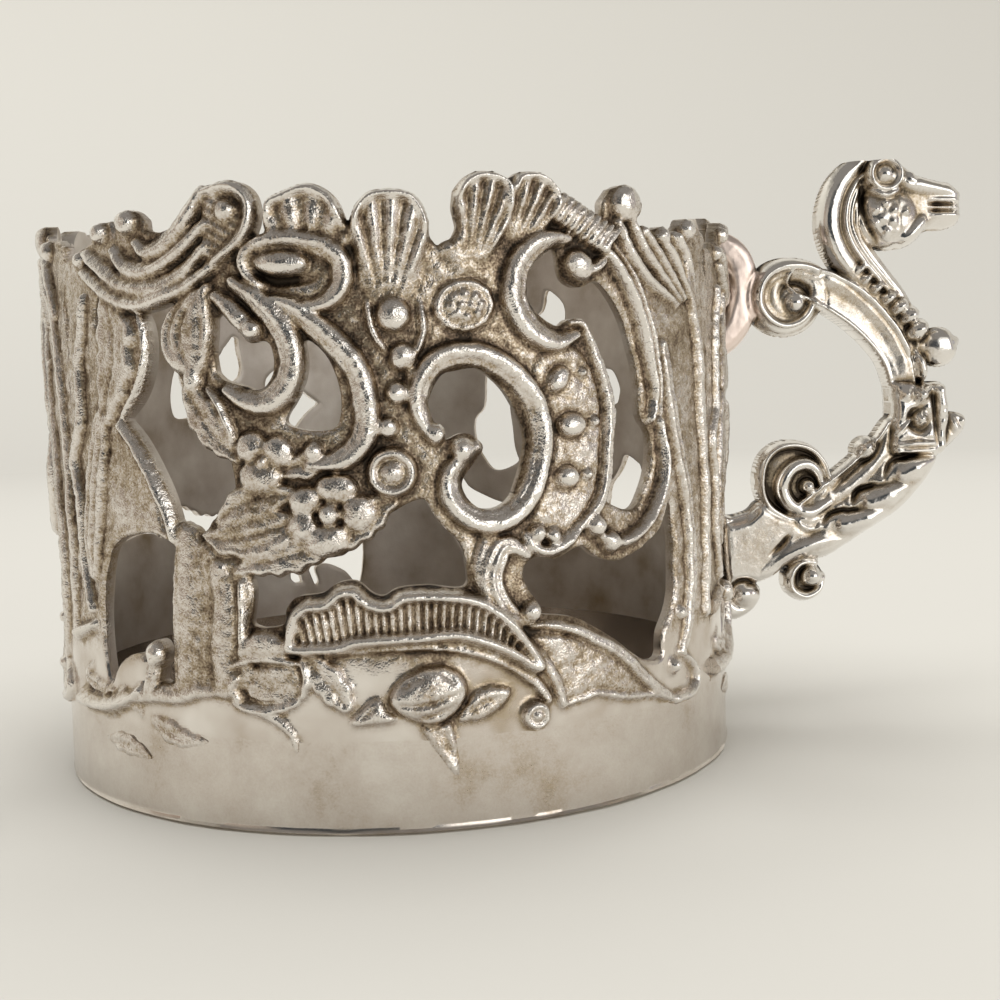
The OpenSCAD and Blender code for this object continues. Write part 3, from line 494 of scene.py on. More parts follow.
# %% Chased leaves and the bud over the band
wall.field("band_flowers", [(458, 722), (470, 700), (486, 688), (502, 687), (514, 692), (504, 708),
                            (486, 720), (468, 723)], 0.75, edge=0.7)
wall.field("band_flowers", [(349, 727), (362, 710), (378, 699), (386, 712), (398, 722), (376, 727)], 0.7,
           edge=0.6)
wall.field("band_flowers", [(422, 730), (440, 726), (452, 724), (459, 750), (460, 778), (444, 762)], 0.7,
           edge=0.5)
for line in ([(464, 716), (484, 704), (508, 693)], [(356, 724), (370, 713), (380, 704)],
             [(444, 728), (450, 748), (458, 772)]):
    wall.carve(line, 4, 0.35)
wall.field("band_flowers", [(389, 704), (397, 685), (424, 669), (446, 668), (463, 677), (468, 692),
                            (459, 711), (436, 726), (408, 720)], 1.7, edge=1.5)
for line in ([(392, 703), (412, 706), (438, 701), (466, 688)], [(398, 692), (414, 681), (434, 675)],
             [(414, 720), (434, 715), (456, 704)], [(440, 672), (452, 680), (460, 690)]):
    wall.carve(line, 4.5, 0.5)
wall.field("band_flowers", [(234, 648), (250, 634), (272, 634), (290, 646), (284, 658), (250, 662),
                            (236, 660)], 1.1, edge=0.9)
wall.rib("band_flowers", [(226, 668), (245, 662), (268, 661), (292, 664), (306, 670)], 9, 1.0, ROUND, FULL)
wall.rib("band_flowers", [(222, 690), (236, 706), (262, 712), (290, 706), (307, 690)], 12, 0.8, ROLLED, FULL)
wall.leaf("band_flowers", [(306, 662), (318, 674), (332, 690), (344, 706)], 36, 1.2, 6,
          (0.5, 0.9, 1, 1, 0.6))
wall.rib("band_flowers", [(258, 714), (274, 722), (290, 738), (294, 756)], 12, 0.6, ROUND, TAIL)
wall.field("band_flowers", [(240, 676), (252, 668), (282, 667), (296, 672), (298, 694), (284, 704),
                            (256, 704), (242, 694)], 0.35, edge=0.3)
wall.rib("band_flowers", [(234, 680), (230, 690), (236, 700)], 12, 1.2, ROUND, EVEN)
wall.rib("band_flowers", [(302, 668), (305, 682), (302, 698)], 10, 1.1, ROUND, EVEN)
print(len(wall.names) - 1, "ornaments so far")

# %% [markdown]
# Small scrolls fill the corner where the wall meets the band, and faint leaves are chased into the band
# under them. They are the same strokes as above, only lower and narrower.

# %% Scrolls at the left foot
wall.leaf("corner_scrolls", [(101, 716), (118, 700), (132, 706), (137, 718)], 26, 0.6, 8)
wall.leaf("corner_scrolls", [(102, 738), (118, 744), (134, 752), (146, 760)], 24, 0.5, 8)
wall.leaf("corner_scrolls", [(150, 722), (166, 734), (184, 742), (204, 744)], 26, 0.5, 9,
          (0.4, 1, 0.9, 0.5, 0.1))
wall.rib("corner_scrolls", [(128, 700), (150, 694), (174, 696), (200, 690), (226, 694)], 22, 0.9, ROLLED,
         FULL)
wall.rib("corner_scrolls", [(90, 625), (78, 632), (69, 645), (64, 662), (70, 684), (84, 698), (104, 704),
                            (124, 700), (136, 690)], 20, 1.5, ROLLED, FULL)
wall.leaf("corner_scrolls", [(88, 662), (84, 676), (96, 688), (110, 692)], 18, 1.0, 6)
wall.dome("corner_scrolls", (152, 655), 15, 1.5, stretch=0.85)
wall.rib("corner_scrolls", [(152, 664), (150, 678), (146, 692)], 16, 1.2, DOUBLE, EVEN)
print(len(wall.names) - 1, "ornaments so far")

# %% [markdown]
# Leaves and stems fill the left half. Each leaf follows its midrib, with veins that slant away from it.

# %% Leaves, stems and the post
wall.leaf("pendant_leaves", [(104, 300), (108, 330), (108, 362), (104, 392), (100, 418)], 66, 1.0, 8,
          (0.5, 0.95, 1, 0.95, 0.7, 0.3), lobes_px=30)
wall.rib("pendant_leaves", [(129, 307), (138, 325), (141, 348), (139, 372), (131, 396), (116, 419)], 8, 1.3)
wall.rib("pendant_leaves", [(96, 420), (93, 450), (90, 490), (88, 530), (88, 570)], 38, 0.9, TRIPLE,
         (0.6, 0.9, 1, 1, 0.9, 0.6))
wall.rib("pendant_leaves", [(116, 425), (128, 440), (137, 455), (149, 478), (158, 498), (166, 521),
                            (170, 540)], 15, 1.2, ROLLED, EVEN)
wall.rib("pendant_leaves", [(77, 298), (75, 332), (73, 365), (75, 400), (75, 429), (70, 461), (76, 500),
                            (80, 560), (88, 610)], 11, 1.1, DOUBLE, EVEN)
wall.rib("side_leaves", [(202, 288), (204, 318), (203, 345), (196, 372), (188, 392)], 11, 1.1, ROLLED, TAIL)
wall.field("side_leaves", [(200, 288), (186, 290), (170, 304), (158, 322), (157, 345), (165, 365),
                           (184, 377), (198, 374), (200, 340), (201, 310)], 1.1, edge=0.9)
for line in ([(196, 298), (184, 314), (178, 336), (184, 358), (192, 368)],
             [(186, 297), (172, 314), (167, 338), (174, 360)]):
    wall.carve(line, 5, 0.45)
wall.dome("side_leaves", (189, 380), 11, 1.3)
wall.leaf("side_leaves", [(186, 392), (196, 412), (208, 430), (222, 446), (234, 456)], 42, 1.0, 7,
          (0.5, 1, 1, 0.8, 0.4))
wall.rib("side_leaves", [(202, 388), (214, 400), (224, 420), (232, 440)], 9, 1.2, ROUND, FULL)
wall.field("spray_leaves", [(170, 532), (198, 542), (246, 580), (246, 628), (244, 690), (200, 700),
                            (170, 690)], 0.35)
wall.rib("spray_leaves", [(184, 540), (186, 590), (184, 640), (186, 688)], 34, 0.6, ROLLED, EVEN)
wall.rib("spray_leaves", [(216, 572), (222, 610), (220, 650), (222, 690)], 30, 0.9, ROUND, EVEN)
wall.rib("spray_leaves", [(238, 585), (240, 620), (240, 655)], 10, 1.1, ROUND, EVEN)
wall.leaf("spray_leaves", [(398, 500), (380, 508), (362, 522), (346, 540), (330, 552)], 40, 1.0, 7)
wall.leaf("spray_leaves", [(340, 548), (312, 550), (280, 558), (250, 566), (232, 572)], 42, 1.0, 7)
wall.leaf("spray_leaves", [(300, 520), (276, 528), (248, 536), (222, 540), (200, 536)], 56, 1.1, 7)
wall.leaf("spray_leaves", [(296, 494), (272, 496), (250, 500), (232, 508), (212, 524)], 40, 1.2, 6)
wall.leaf("spray_leaves", [(330, 466), (306, 466), (286, 470), (272, 480)], 30, 1.0, 6)
wall.rib("post_curls", [(492, 538), (488, 556), (486, 574), (488, 596)], 24, 0.8, ROUND, EVEN)
wall.rib("post_curls", [(530, 556), (516, 547), (504, 548), (497, 562), (493, 581), (500, 602), (514, 617),
                        (533, 621)], 24, 1.3, TRIPLE, (0.4, 0.8, 1, 1, 1, 0.9, 0.5))
wall.dome("post_curls", (534, 612), 11, 1.5)
print(len(wall.names) - 1, "ornaments so far")

# %% [markdown]
# The scrolls are ribs whose cross-section has a high rolled ridge on the outside and a thin one on the
# inside, so light draws two lines along each of them. Balls close their ends.

# %% Scrolls
wall.field("post_curls", [(560, 344), (585, 352), (600, 382), (605, 415), (603, 450), (602, 482), (590, 508),
                          (570, 532), (545, 540), (535, 520), (552, 480), (560, 440), (552, 400),
                          (535, 372)], 0.25, edge=0.8)
wall.rib("post_curls", [(574, 322), (586, 322), (592, 334), (600, 356), (609, 384), (614, 414), (612, 449),
                        (610, 481), (602, 505), (584, 527), (562, 541)], 13, 1.1, DOUBLE, FULL)
wall.rib("post_curls", [(582, 532), (566, 545), (548, 552), (532, 544), (528, 534)], 13, 1.2, ROUND, FULL)
wall.dome("post_curls", (540, 534), 10, 1.4)
wall.dome("post_curls", (556, 536), 9, 1.3)
wall.rib("upper_c_scrolls", [(572, 238), (556, 238), (540, 243), (522, 262), (516, 290), (521, 312),
                             (536, 332), (558, 342), (580, 334)], 26, 1.5, ROLLED)
wall.rib("s_scrolls", [(598, 244), (612, 254), (630, 284), (644, 320), (653, 360), (658, 395), (655, 420)],
         13, 1.5, ROUND, (0.8, 1, 1, 1, 0.8, 0.5))
wall.rib("s_scrolls", [(616, 238), (640, 280), (656, 330), (664, 380), (666, 420)], 7, 1.0)
wall.rib("s_scrolls", [(664, 420), (668, 460), (665, 490), (655, 515), (640, 534), (622, 543), (606, 538)],
         14, 1.5, ROLLED, (0.5, 0.9, 1, 1, 1, 0.8))
wall.dome("s_scrolls", (582, 265), 18, 1.6, stretch=0.85, turn=60)
wall.rib("s_scrolls", [(590, 272), (602, 264), (608, 256)], 12, 1.3)
wall.dome("s_scrolls", (599, 526), 12, 1.6)
wall.dome("s_scrolls", (614, 542), 12, 1.6)
wall.rib("large_c_scrolls", [(478, 447), (464, 458), (452, 473), (450, 491), (459, 509), (479, 521),
                             (502, 521), (521, 509), (535, 487), (543, 455), (543, 425), (535, 398),
                             (518, 376), (495, 360), (470, 353), (443, 358), (425, 374), (418, 398),
                             (424, 422), (436, 440)], 25, 1.5, ROLLED,
         (0.5, 0.85, 1, 1, 1, 1, 1, 1, 0.95, 0.9, 0.5))
wall.dome("large_c_scrolls", (464, 450), 12, 1.6)
wall.dome("large_c_scrolls", (436, 434), 11, 1.4)
wall.rib("inner_c_scrolls", [(229, 282), (255, 300), (277, 323), (288, 345), (290, 371), (281, 391),
                             (264, 403), (244, 401), (225, 390)], 27, 1.5, ROLLED,
         (0.5, 0.9, 1, 1, 1, 0.9, 0.5), flip=True)
wall.rib("inner_c_scrolls", [(212, 296), (224, 306), (238, 320), (250, 332)], 22, 1.2, ROUND,
         (0.6, 0.9, 1, 0.8))
wall.dome("inner_c_scrolls", (250, 330), 11, 1.6)
wall.rib("outer_c_scrolls", [(270, 300), (292, 308), (312, 324), (337, 345), (356, 369), (364, 397),
                             (366, 429), (355, 450), (336, 462), (309, 464)], 26, 1.5, ROLLED,
         (0.5, 0.9, 1, 1, 1, 1, 0.9, 0.5), flip=True)
wall.dome("outer_c_scrolls", (312, 452), 10, 1.4)
print(len(wall.names) - 1, "ornaments so far")

# %% [markdown]
# Bosses are struck with a round punch. A column of them grows smaller downwards, an oval panel is
# stippled with tiny ones, and petals are ovals round a centre. A dome with a ring is one stroke too, so
# its bead always sits in the middle.

# %% Small bosses and flowers
for place, size in (((393, 314), 17), ((403, 357), 14), ((398, 393), 12), ((388, 428), 11)):
    wall.dome("dome_columns", place, size, 1.3)
wall.rib("dome_columns", [(420, 300), (424, 330), (414, 360), (406, 385)], 8, 0.7)
wall.rib("dome_columns", [(366, 300), (372, 330), (386, 352)], 8, 0.8)
wall.dome("cartouches", (466, 305), 26, 0.55, stretch=1.2, turn=10, ring=0.8, groove=0.35)
for place in ((456, 297), (466, 294), (476, 297), (452, 306), (462, 304), (472, 306), (482, 304), (458, 314),
              (469, 316), (479, 313)):
    wall.dome("cartouches", place, 4.5, 0.85, groove=0.05)
wall.dome("oval_beads", (561, 379), 11, 1.4, stretch=1.4, turn=50, groove=0.4)
wall.dome("oval_beads", (575, 425), 13, 1.5, stretch=1.3, groove=0.4)
wall.dome("oval_beads", (571, 477), 12, 1.5, stretch=1.15, groove=0.4)
wall.dome("oval_beads", (598, 421), 6, 1.1)
wall.dome("oval_beads", (591, 474), 6, 1.1)
wall.dome("oval_beads", (586, 372), 5, 1.0)
wall.dome("rosettes", (392, 473), 25, 1.5, ring=0.58)
wall.dome("rosettes", (392, 473), 7, 0.9)
for place, size, stretch, turn in (((335, 490), 16, 1.4, 0), ((358, 514), 19, 1.0, 0),
                                   ((326, 541), 17, 1.4, 10), ((303, 503), 16, 1.1, 30),
                                   ((302, 527), 15, 1.1, -30)):
    wall.dome("flowers", place, size, 1.3, stretch=stretch, turn=turn)
    wall.carve([(327, 515), place], 5, 0.25)
wall.dome("flowers", (328, 515), 12, 1.55)
for place, size, stretch in (((249, 448), 17, 1.0), ((275, 453), 17, 1.0), ((258, 477), 18, 1.3)):
    wall.dome("buds", place, size, 1.4, stretch=stretch)
wall.dome("buds", (262, 462), 7, 1.5)
print(len(wall.names) - 1, "ornaments so far")

# %% [markdown]
# The crest is a row of fronds, curls and small shells with a rolled edge. A shell is a fan: its flutes
# spread from one focus below it, and its rim follows the outline.

# %% Crest
for line in ([(131, 242), (142, 252), (156, 247), (170, 235), (184, 214), (196, 190)],
             [(108, 250), (122, 268), (142, 270), (165, 258), (184, 240), (198, 224)],
             [(80, 254), (98, 270), (118, 284), (150, 287), (178, 272), (200, 246)],
             [(78, 272), (100, 290), (131, 303), (165, 293), (186, 282), (204, 268)]):
    wall.rib("crest_fronds", line, 20, 1.4, ROLLED, (0.5, 0.9, 1, 1, 0.9, 0.6))
wall.dome("crest_fronds", (94, 233), 11, 1.4)
wall.dome("crest_fronds", (121, 222), 13, 1.5)
wall.dome("crest_fronds", (74, 260), 9, 1.2)
wall.field("crest_curls", [(198, 190), (222, 186), (244, 192), (250, 215), (244, 238), (222, 262),
                           (202, 268)], 0.6, pitch=9, heading=60, depth=0.5)
wall.rib("crest_curls", [(200, 192), (214, 187), (230, 187), (243, 196), (247, 214), (241, 234), (226, 249),
                         (210, 262)], 15, 1.5, ROLLED, (0.5, 0.9, 1, 1, 0.9, 0.5), flip=True)
wall.dome("crest_curls", (222, 210), 12, 1.3)
for line in ([(622, 222), (634, 252), (654, 280), (682, 304)], [(636, 222), (648, 248), (664, 272),
                                                                (686, 300)],
             [(648, 230), (660, 250), (674, 272), (690, 298)], [(664, 236), (676, 254), (686, 276),
                                                                (694, 296)],
             [(682, 236), (690, 256), (696, 278), (699, 298)]):
    wall.rib("crest_curls", line, 13, 1.15, ROUND, (0.9, 1, 0.8, 0.5))
wall.dome("crest_curls", (630, 203), 20, 1.6)
wall.dome("crest_curls", (668, 234), 9, 1.2)
wall.dome("crest_curls", (692, 229), 12, 1.4)
wall.fan("crest_lobes", [(264, 240), (262, 204), (274, 193), (305, 182), (331, 193), (345, 220), (350, 244),
                         (322, 262), (290, 252)], (304, 300), 1.5, 15, rim=11, depth=0.35)
wall.dome("crest_lobes", (318, 218), 16, 0.9)
wall.fan("crest_lobes", [(349, 222), (355, 204), (368, 191), (390, 188), (412, 192), (425, 208), (430, 232),
                         (424, 262), (410, 296), (386, 312), (362, 290), (350, 250)], (386, 330), 1.7, 9.5,
         rim=9, depth=0.5)
wall.fan("crest_double_shell", [(440, 246), (455, 236), (459, 224), (455, 206), (457, 188), (469, 174),
                                (486, 170), (506, 176), (514, 190), (512, 224), (494, 256), (466, 272)],
         (470, 290), 1.7, 9, rim=9, depth=0.5)
wall.fan("crest_double_shell", [(512, 184), (520, 172), (540, 172), (556, 184), (562, 196), (556, 220),
                                (534, 240), (508, 240), (506, 208)], (508, 268), 1.6, 10, rim=9, depth=0.45)
for i in range(9):
    x, y = 560 + i * 6.5, 204 + i * 4.4
    wall.rib("rope_scrolls", [(x - 7, y + 11), (x, y), (x + 8, y - 9)], 10, 1.5, ROUND, EVEN, groove=0.2)
wall.rib("spiral_volutes", [(300, 306), (322, 303), (338, 290), (342, 270), (334, 253), (314, 243),
                            (286, 240), (260, 244), (244, 256), (245, 272), (258, 284)], 22, 1.5, ROLLED,
         (0.5, 0.9, 1, 1, 1, 0.9, 0.5))
wall.dome("spiral_volutes", (278, 262), 14, 1.6, stretch=2.1, turn=-4)
wall.carve([(254, 274), (270, 281), (290, 281), (308, 279), (318, 270)], 8, 1.0)
wall.carve([(256, 256), (274, 250), (296, 250), (314, 256)], 4, 0.4)
print(len(wall.names) - 1, "ornaments so far")

# %% [markdown]
# Two upright ribs close the casting at its right edge, where the next one is soldered on. They are
# drawn last, so that they run over whatever reaches the edge.

# %% Columns at the right edge
wall.rib("edge_columns", [(690, 265), (697, 305), (703, 350), (706, 400), (709, 450), (711, 507), (712, 560),
                          (712, 612)], 16, 0.8, ROUND, EVEN)
wall.rib("edge_columns", [(668, 345), (674, 392), (682, 440), (692, 500), (696, 560), (694, 620),
                          (688, 650)], 18, 0.9, DOUBLE, EVEN)
wall.dome("edge_columns", (686, 612), 8, 1.0)
print(len(wall.names) - 1, "ornaments in all")


# %% [markdown]
# What is left of the wall is open air. The openings and the crest are outlines in the picture, and the
# distance to the nearest of them says where the metal ends and rounds its edge over.

# %% Openings and crest
openings = [[(129, 309), (150, 298), (174, 292), (160, 320), (157, 358), (175, 380), (178, 406), (184, 430),
             (197, 434), (198, 448), (222, 458), (228, 474), (230, 489), (232, 503), (206, 522), (198, 540),
             (176, 534), (157, 531), (150, 495), (136, 462), (125, 440), (114, 425), (124, 410), (137, 385),
             (140, 350), (134, 325)], [(100, 560), (112, 540), (140, 534), (157, 540), (170, 552),
                                       (170, 600), (172, 650), (168, 680), (150, 692), (138, 684),
                                       (140, 662), (128, 655), (112, 665), (104, 684), (98, 650), (96, 610)],
            [(88, 296), (97, 293), (97, 325), (86, 328)], [(208, 323), (214, 314), (225, 312), (233, 328),
                                                           (244, 343), (262, 341), (269, 356), (268, 376),
                                                           (255, 390), (238, 386), (210, 373)],
            [(297, 341), (311, 343), (328, 362), (339, 395), (337, 423), (325, 431), (298, 430), (281, 421),
             (296, 395), (302, 367)], [(561, 248), (546, 255), (533, 270), (531, 288), (536, 305),
                                       (548, 318), (564, 326), (574, 319), (588, 322), (600, 340),
                                       (613, 369), (618, 407), (616, 456), (609, 493), (620, 506),
                                       (640, 510), (650, 494), (658, 467), (658, 433), (648, 415),
                                       (645, 373), (640, 351), (631, 320), (616, 293), (602, 280),
                                       (585, 287), (568, 277)],
            [(430, 399), (442, 376), (456, 371), (479, 368), (495, 378), (509, 392), (522, 414), (530, 435),
             (529, 456), (521, 484), (512, 504), (498, 511), (479, 508), (467, 494), (465, 481), (476, 465),
             (484, 453), (486, 446), (474, 435), (462, 434), (446, 441), (439, 431), (431, 411)],
            [(527, 572), (532, 590), (542, 603), (543, 615), (578, 618), (601, 628), (623, 641), (637, 652),
             (652, 661), (668, 658), (670, 634), (678, 612), (682, 590), (682, 556), (681, 534), (677, 500),
             (668, 528), (652, 545), (637, 556), (621, 562), (601, 556), (590, 547), (578, 550), (561, 560),
             (540, 558)], [(236, 585), (246, 627), (280, 627), (282, 612), (293, 599), (320, 595),
                           (335, 585), (355, 583), (371, 595), (384, 598), (398, 590), (430, 587),
                           (467, 589), (469, 570), (463, 545), (447, 530), (434, 514), (425, 500),
                           (407, 505), (393, 513), (378, 516), (373, 528), (349, 545), (342, 557),
                           (304, 562), (284, 573), (262, 575)], ]
crest = [(55, 262), (66, 258), (70, 250), (82, 243), (84, 232), (92, 224), (104, 220), (107, 237),
         (109, 217), (127, 211), (136, 219), (137, 230), (151, 232), (166, 226), (178, 217), (181, 200),
         (190, 191), (201, 188), (223, 184), (244, 189), (249, 204), (246, 232), (258, 239), (262, 232),
         (262, 204), (272, 193), (305, 182), (331, 193), (344, 219), (348, 221), (354, 203), (368, 190),
         (390, 187), (412, 192), (424, 208), (428, 232), (439, 246), (453, 239), (459, 226), (454, 206),
         (456, 188), (468, 174), (486, 170), (506, 176), (513, 177), (520, 172), (540, 172), (555, 183),
         (563, 195), (578, 198), (591, 208), (604, 226), (609, 224), (608, 201), (618, 187), (633, 187),
         (650, 201), (649, 212), (642, 221), (656, 244), (662, 228), (674, 228), (680, 233), (691, 221),
         (702, 222), (709, 232)]
print(len(openings), "openings")

# %% [markdown]
# An ornament that reaches over an opening keeps its metal there, so the cover of the strokes is added
# back. Below the upper edge of the band there is no ground at all, because the band itself is the wall
# there, and only the ornaments that lie over it are left.

# %% Where the metal ends
far_inside = 9.0
past_side = 60
past_top = 90
trim_edge = 0.6
top_margin = 0.05
ground_low = band_top - 0.3
metal = np.full(wall.X.shape, far_inside)
for outline in openings:
    win, inside = wall.inside_of(on_wall(curve(outline, 3, closed=True)), 3)
    metal[win] = np.minimum(metal[win], -inside)
edge_line = on_wall(crest)
edge_line = np.concatenate([[[-past_side, edge_line[0, 1]]], edge_line, [[past_side, edge_line[-1, 1]]]])
sky = np.concatenate([edge_line, [[past_side, past_top], [-past_side, past_top]]])
win, inside = wall.inside_of(sky, 4)
metal[win] = np.minimum(metal[win], -inside)
trim = np.minimum(wall.cover, trim_edge)
metal = np.minimum(np.maximum(metal, trim), crest_top - top_margin - wall.Y)
ground = np.where(wall.Y < ground_low, trim, metal)
print(f"open share {np.mean(metal < 0):.2f}")

# %% [markdown]
# The wall is now bent round the cup. Its plain foot was burnished smooth with the band, so the noise
# fades out there, and every edge rolls over towards the inside, as the edge of a casting does after
# years of polishing. All this happens to the numbers, before there is a mesh to bend.

# %% Front and back of the wall
cast_depth = 0.76
plain_top = 16
plain_fade = 2
plain_rise = 0.03
cover_fade = 0.3
roll_reach = 0.45
roll_drop = 0.38
inner_roll_share = 0.3
lowest = 0.55
highest = 1.6
trim_thick = 0.4
glass_gap = 0.02
joint_rise = 0.8
steepest = 0.98


def round_the_cup(radius, turn, up):
    """Places in metres, from the radius, the turn from the front and the height."""
    return np.stack([radius * np.sin(turn), -radius * np.cos(turn), up], -1) * MM


bare_metal = np.clip(-wall.cover / cover_fade, 0, 1)
plain = blur(bare_metal * np.clip((plain_top - wall.Y) / plain_fade, 0, 1), 2)
strokes_only = wall.height.copy()
wall.cast(cast_depth, grain_high=0.025, lump_high=0.045, seed=7)
wall.height = wall.height * (1 - plain) + (plain_rise + cast_depth * blur(strokes_only, 2)) * plain
wall.cut(blur(ground, 1, 1))
wall.place_x[:, 0], wall.place_x[:, -1] = -half_arc, half_arc
rim_gap = np.where(wall.Y < band_top + joint_rise, np.maximum(metal, wall.metal), wall.metal)
edge = np.clip(1 - rim_gap / roll_reach, 0, steepest)
drop = roll_drop * (1 - np.sqrt(1 - edge ** 2))
outer_r = np.clip(r_out + wall.height - drop, r_out - lowest, r_out + highest)
inner_r = np.where(wall.Y < ground_low, r_out - trim_thick, r_in + glass_gap + inner_roll_share * drop)
wall.front = round_the_cup(outer_r, wall.place_x / r_out, wall.place_y)
wall.back = round_the_cup(inner_r, wall.place_x / r_out, wall.place_y)
wall.calm = plain

# %% [markdown]
# Each ornament is a piece of its own, as if it had been soldered on. A flat grid is made first and cut
# down to the cells of that ornament, its points take their places, and the sheet is extruded to its
# back. Extruding a region closes its sides by itself, also round the openings.


# %% From cells to a closed piece
def finish_mesh(bm, name, slot, *nodes):
    mesh = bpy.data.meshes.new(name)
    bm.to_mesh(mesh)
    bm.free()
    piece = bpy.data.objects.new(name, mesh)
    bpy.context.scene.collection.objects.link(piece)
    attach(piece, "root")
    if nodes:
        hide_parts(*nodes)
    return piece


def cast_piece(sheet, mark):
    """The cells of one ornament as a closed bmesh, from the sheet's front to its back."""
    rows, cols = np.nonzero(sheet.cells == mark)
    r0, r1, c0, c1 = rows.min(), rows.max() + 1, cols.min(), cols.max() + 1
    span = np.s_[r0:r1 + 1, c0:c1 + 1]
    bm = bmesh.new()
    bmesh.ops.create_grid(bm, x_segments=int(c1 - c0), y_segments=int(r1 - r0), size=1)
    index = bm.verts.layers.int.new("index")
    # How deep each point lies; the materials turn it into tarnish and painted shade in the hollows.
    recess = bm.verts.layers.float.new("recess")
    calm = bm.verts.layers.float.new("calm")
    inner = bm.verts.layers.float.new("inner")
    back = sheet.back[span].reshape(-1, 3)
    spots = zip(bm.verts, sheet.front[span].reshape(-1, 3), sheet.recess[span].ravel(),
                sheet.calm[span].ravel())
    for i, (v, place, deep, flat) in enumerate(spots):
        v.co, v[index], v[recess], v[calm] = place, i, deep, flat
    keep = (sheet.cells[r0:r1, c0:c1] == mark).ravel()
    bmesh.ops.delete(bm, geom=[f for f, k in zip(bm.faces, keep) if not k], context="FACES")
    front = bm.faces[:]
    made = bmesh.ops.extrude_face_region(bm, geom=front, use_keep_orig=True)["geom"]
    for v in (g for g in made if isinstance(g, bmesh.types.BMVert)):
        v.co = back[v[index]]
        if sheet is wall:
            v[recess], v[calm], v[inner] = 0.0, 0.9, 1.0
    bmesh.ops.recalc_face_normals(bm, faces=bm.faces)
    broad = set(front) | {g for g in made if isinstance(g, bmesh.types.BMFace)}
    for f in bm.faces:
        f.smooth = True
    for e in bm.edges:
        if len(e.link_faces) == 2 and (e.link_faces[0] in broad) != (e.link_faces[1] in broad):
            e.smooth = False
    bm.verts.layers.int.remove(index)
    return bm


# %% [markdown]
# The real castings came from one mould. So the ornaments are spun to all three places and stay one
# piece per kind, and the ground of each casting is turned to its own place and is a piece by itself.

# %% Ornaments and castings
casting_turn = 2 * math.pi / castings
for mark, node in enumerate(wall.names[1:], 1):
    bm = cast_piece(wall, mark)
    bmesh.ops.spin(bm, geom=bm.verts[:] + bm.edges[:] + bm.faces[:], axis=(0, 0, 1), cent=(0, 0, 0),
                   angle=casting_turn * (castings - 1), steps=castings - 1, use_duplicate=True)
    finish_mesh(bm, node + "_cast", "silver_ornament", node)
for node, step in (("front_wall", 0), ("right_wall", 1), ("left_wall", -1)):
    bm = cast_piece(wall, 0)
    bmesh.ops.rotate(bm, verts=bm.verts[:], cent=(0, 0, 0), matrix=Matrix.Rotation(step * casting_turn, 3,
            "Z"))
    finish_mesh(bm, node + "_cast", "silver_wall", node)
print(len(wall.names) - 1, "kinds of ornament on", castings, "castings")

# %% [markdown]
# The handle is cast in a mould of two halves, so its sheet lies in the plane y = 0 and has the same
# relief on both sides. Heights are half its thickness here. A broad concave strap ends in two spirals,
# and an animal's neck springs from it and carries the head that the thumb rests on.

# %% The handle's plates and straps
handle_cell = 0.13
handle_px_mm = 8.9
handle_foot = 0.4
corner = (handle_low.x - 0.3, handle_low.z - 0.4)
handle = Casting(corner, (handle_high.x, handle_high.z), handle_cell, on_handle, handle_px_mm, handle_foot)
handle.rib("ear_strap", [(706, 242), (722, 248), (736, 263), (741, 290), (736, 318), (724, 337), (706, 350)],
           30, 1.9, ((0, 3, 0.9), (0.85, 0.15, 1)), (0.8, 1, 1.05, 1, 1.05, 1, 0.9), groove=0.0)
handle.field("lower_bracket", [(718, 518), (730, 515), (746, 510), (758, 500), (780, 512), (812, 512),
                               (836, 500), (850, 520), (838, 546), (816, 558), (787, 562), (770, 576),
                               (745, 584), (722, 582)], 2.3, edge=0.6)
handle.carve([(720, 522), (740, 518), (756, 508)], 7, 0.7)
handle.rib("handle_scroll", [(796, 282), (814, 287), (835, 298), (857, 314), (877, 335), (891, 357),
                             (898, 382)], 40, 2.75, CHANNEL, (0.8, 1.0, 1, 0.95, 0.88, 0.8, 0.74),
           groove=0.0)
handle.carve([(815, 288), (835, 299), (856, 315), (875, 336), (887, 357), (893, 378)], 24, 0.45)
handle.rib("handle_scroll", [(806, 512), (824, 500), (845, 484), (866, 466), (882, 448), (893, 430)], 40,
           2.6, CHANNEL, (0.9, 1, 1, 1, 0.9, 0.8))
handle.carve([(828, 488), (846, 472), (866, 454), (880, 434)], 9, 0.8)
handle.dome("handle_scroll", (861, 447), 10, 2.9, stretch=1.3, turn=45)
print("handle sheet of", handle.X.shape)

# %% [markdown]
# Each spiral is a flat dome with a round bar laid on it along a few points. A bar alone would leave a
# hole where the cast spiral has a web, so the dome comes first.

# %% Spirals
handle.dome("inner_volute", (788, 479), 36, 1.5)
handle.rib("inner_volute", [(826, 478), (820, 462), (808, 449), (791, 444), (774, 447), (762, 458),
                            (757, 474), (758, 492), (766, 506), (782, 515), (800, 518)], 9, 2.8, ROUND, EVEN,
           groove=0.0)
handle.rib("inner_volute", [(824, 500), (804, 511), (786, 503), (778, 486), (786, 469), (802, 463),
                            (815, 473), (816, 488), (806, 496)], 17, 2.6, ROUND,
           (0.8, 1, 1, 1, 0.9, 0.7, 0.5), groove=0.0)
handle.dome("inner_volute", (803, 485), 8, 2.8, groove=0.3)
handle.dome("top_volute", (782, 298), 39, 2.0)
handle.rib("top_volute", [(812, 272), (804, 269), (793, 267), (779, 268), (764, 276), (756, 290), (756, 306),
                          (766, 320), (781, 326), (796, 321), (806, 308), (806, 296)], 17, 2.85,
           ((-0.1, 0.85, 1), (0.9, 0.2, 0.7)), (0.9, 1, 0.95, 0.9, 0.85, 0.8, 0.75, 0.6), groove=0.0)
handle.carve([(806, 300), (801, 289), (789, 284), (777, 290), (774, 303)], 8, 0.7)
handle.dome("top_volute", (790, 304), 11, 2.8)
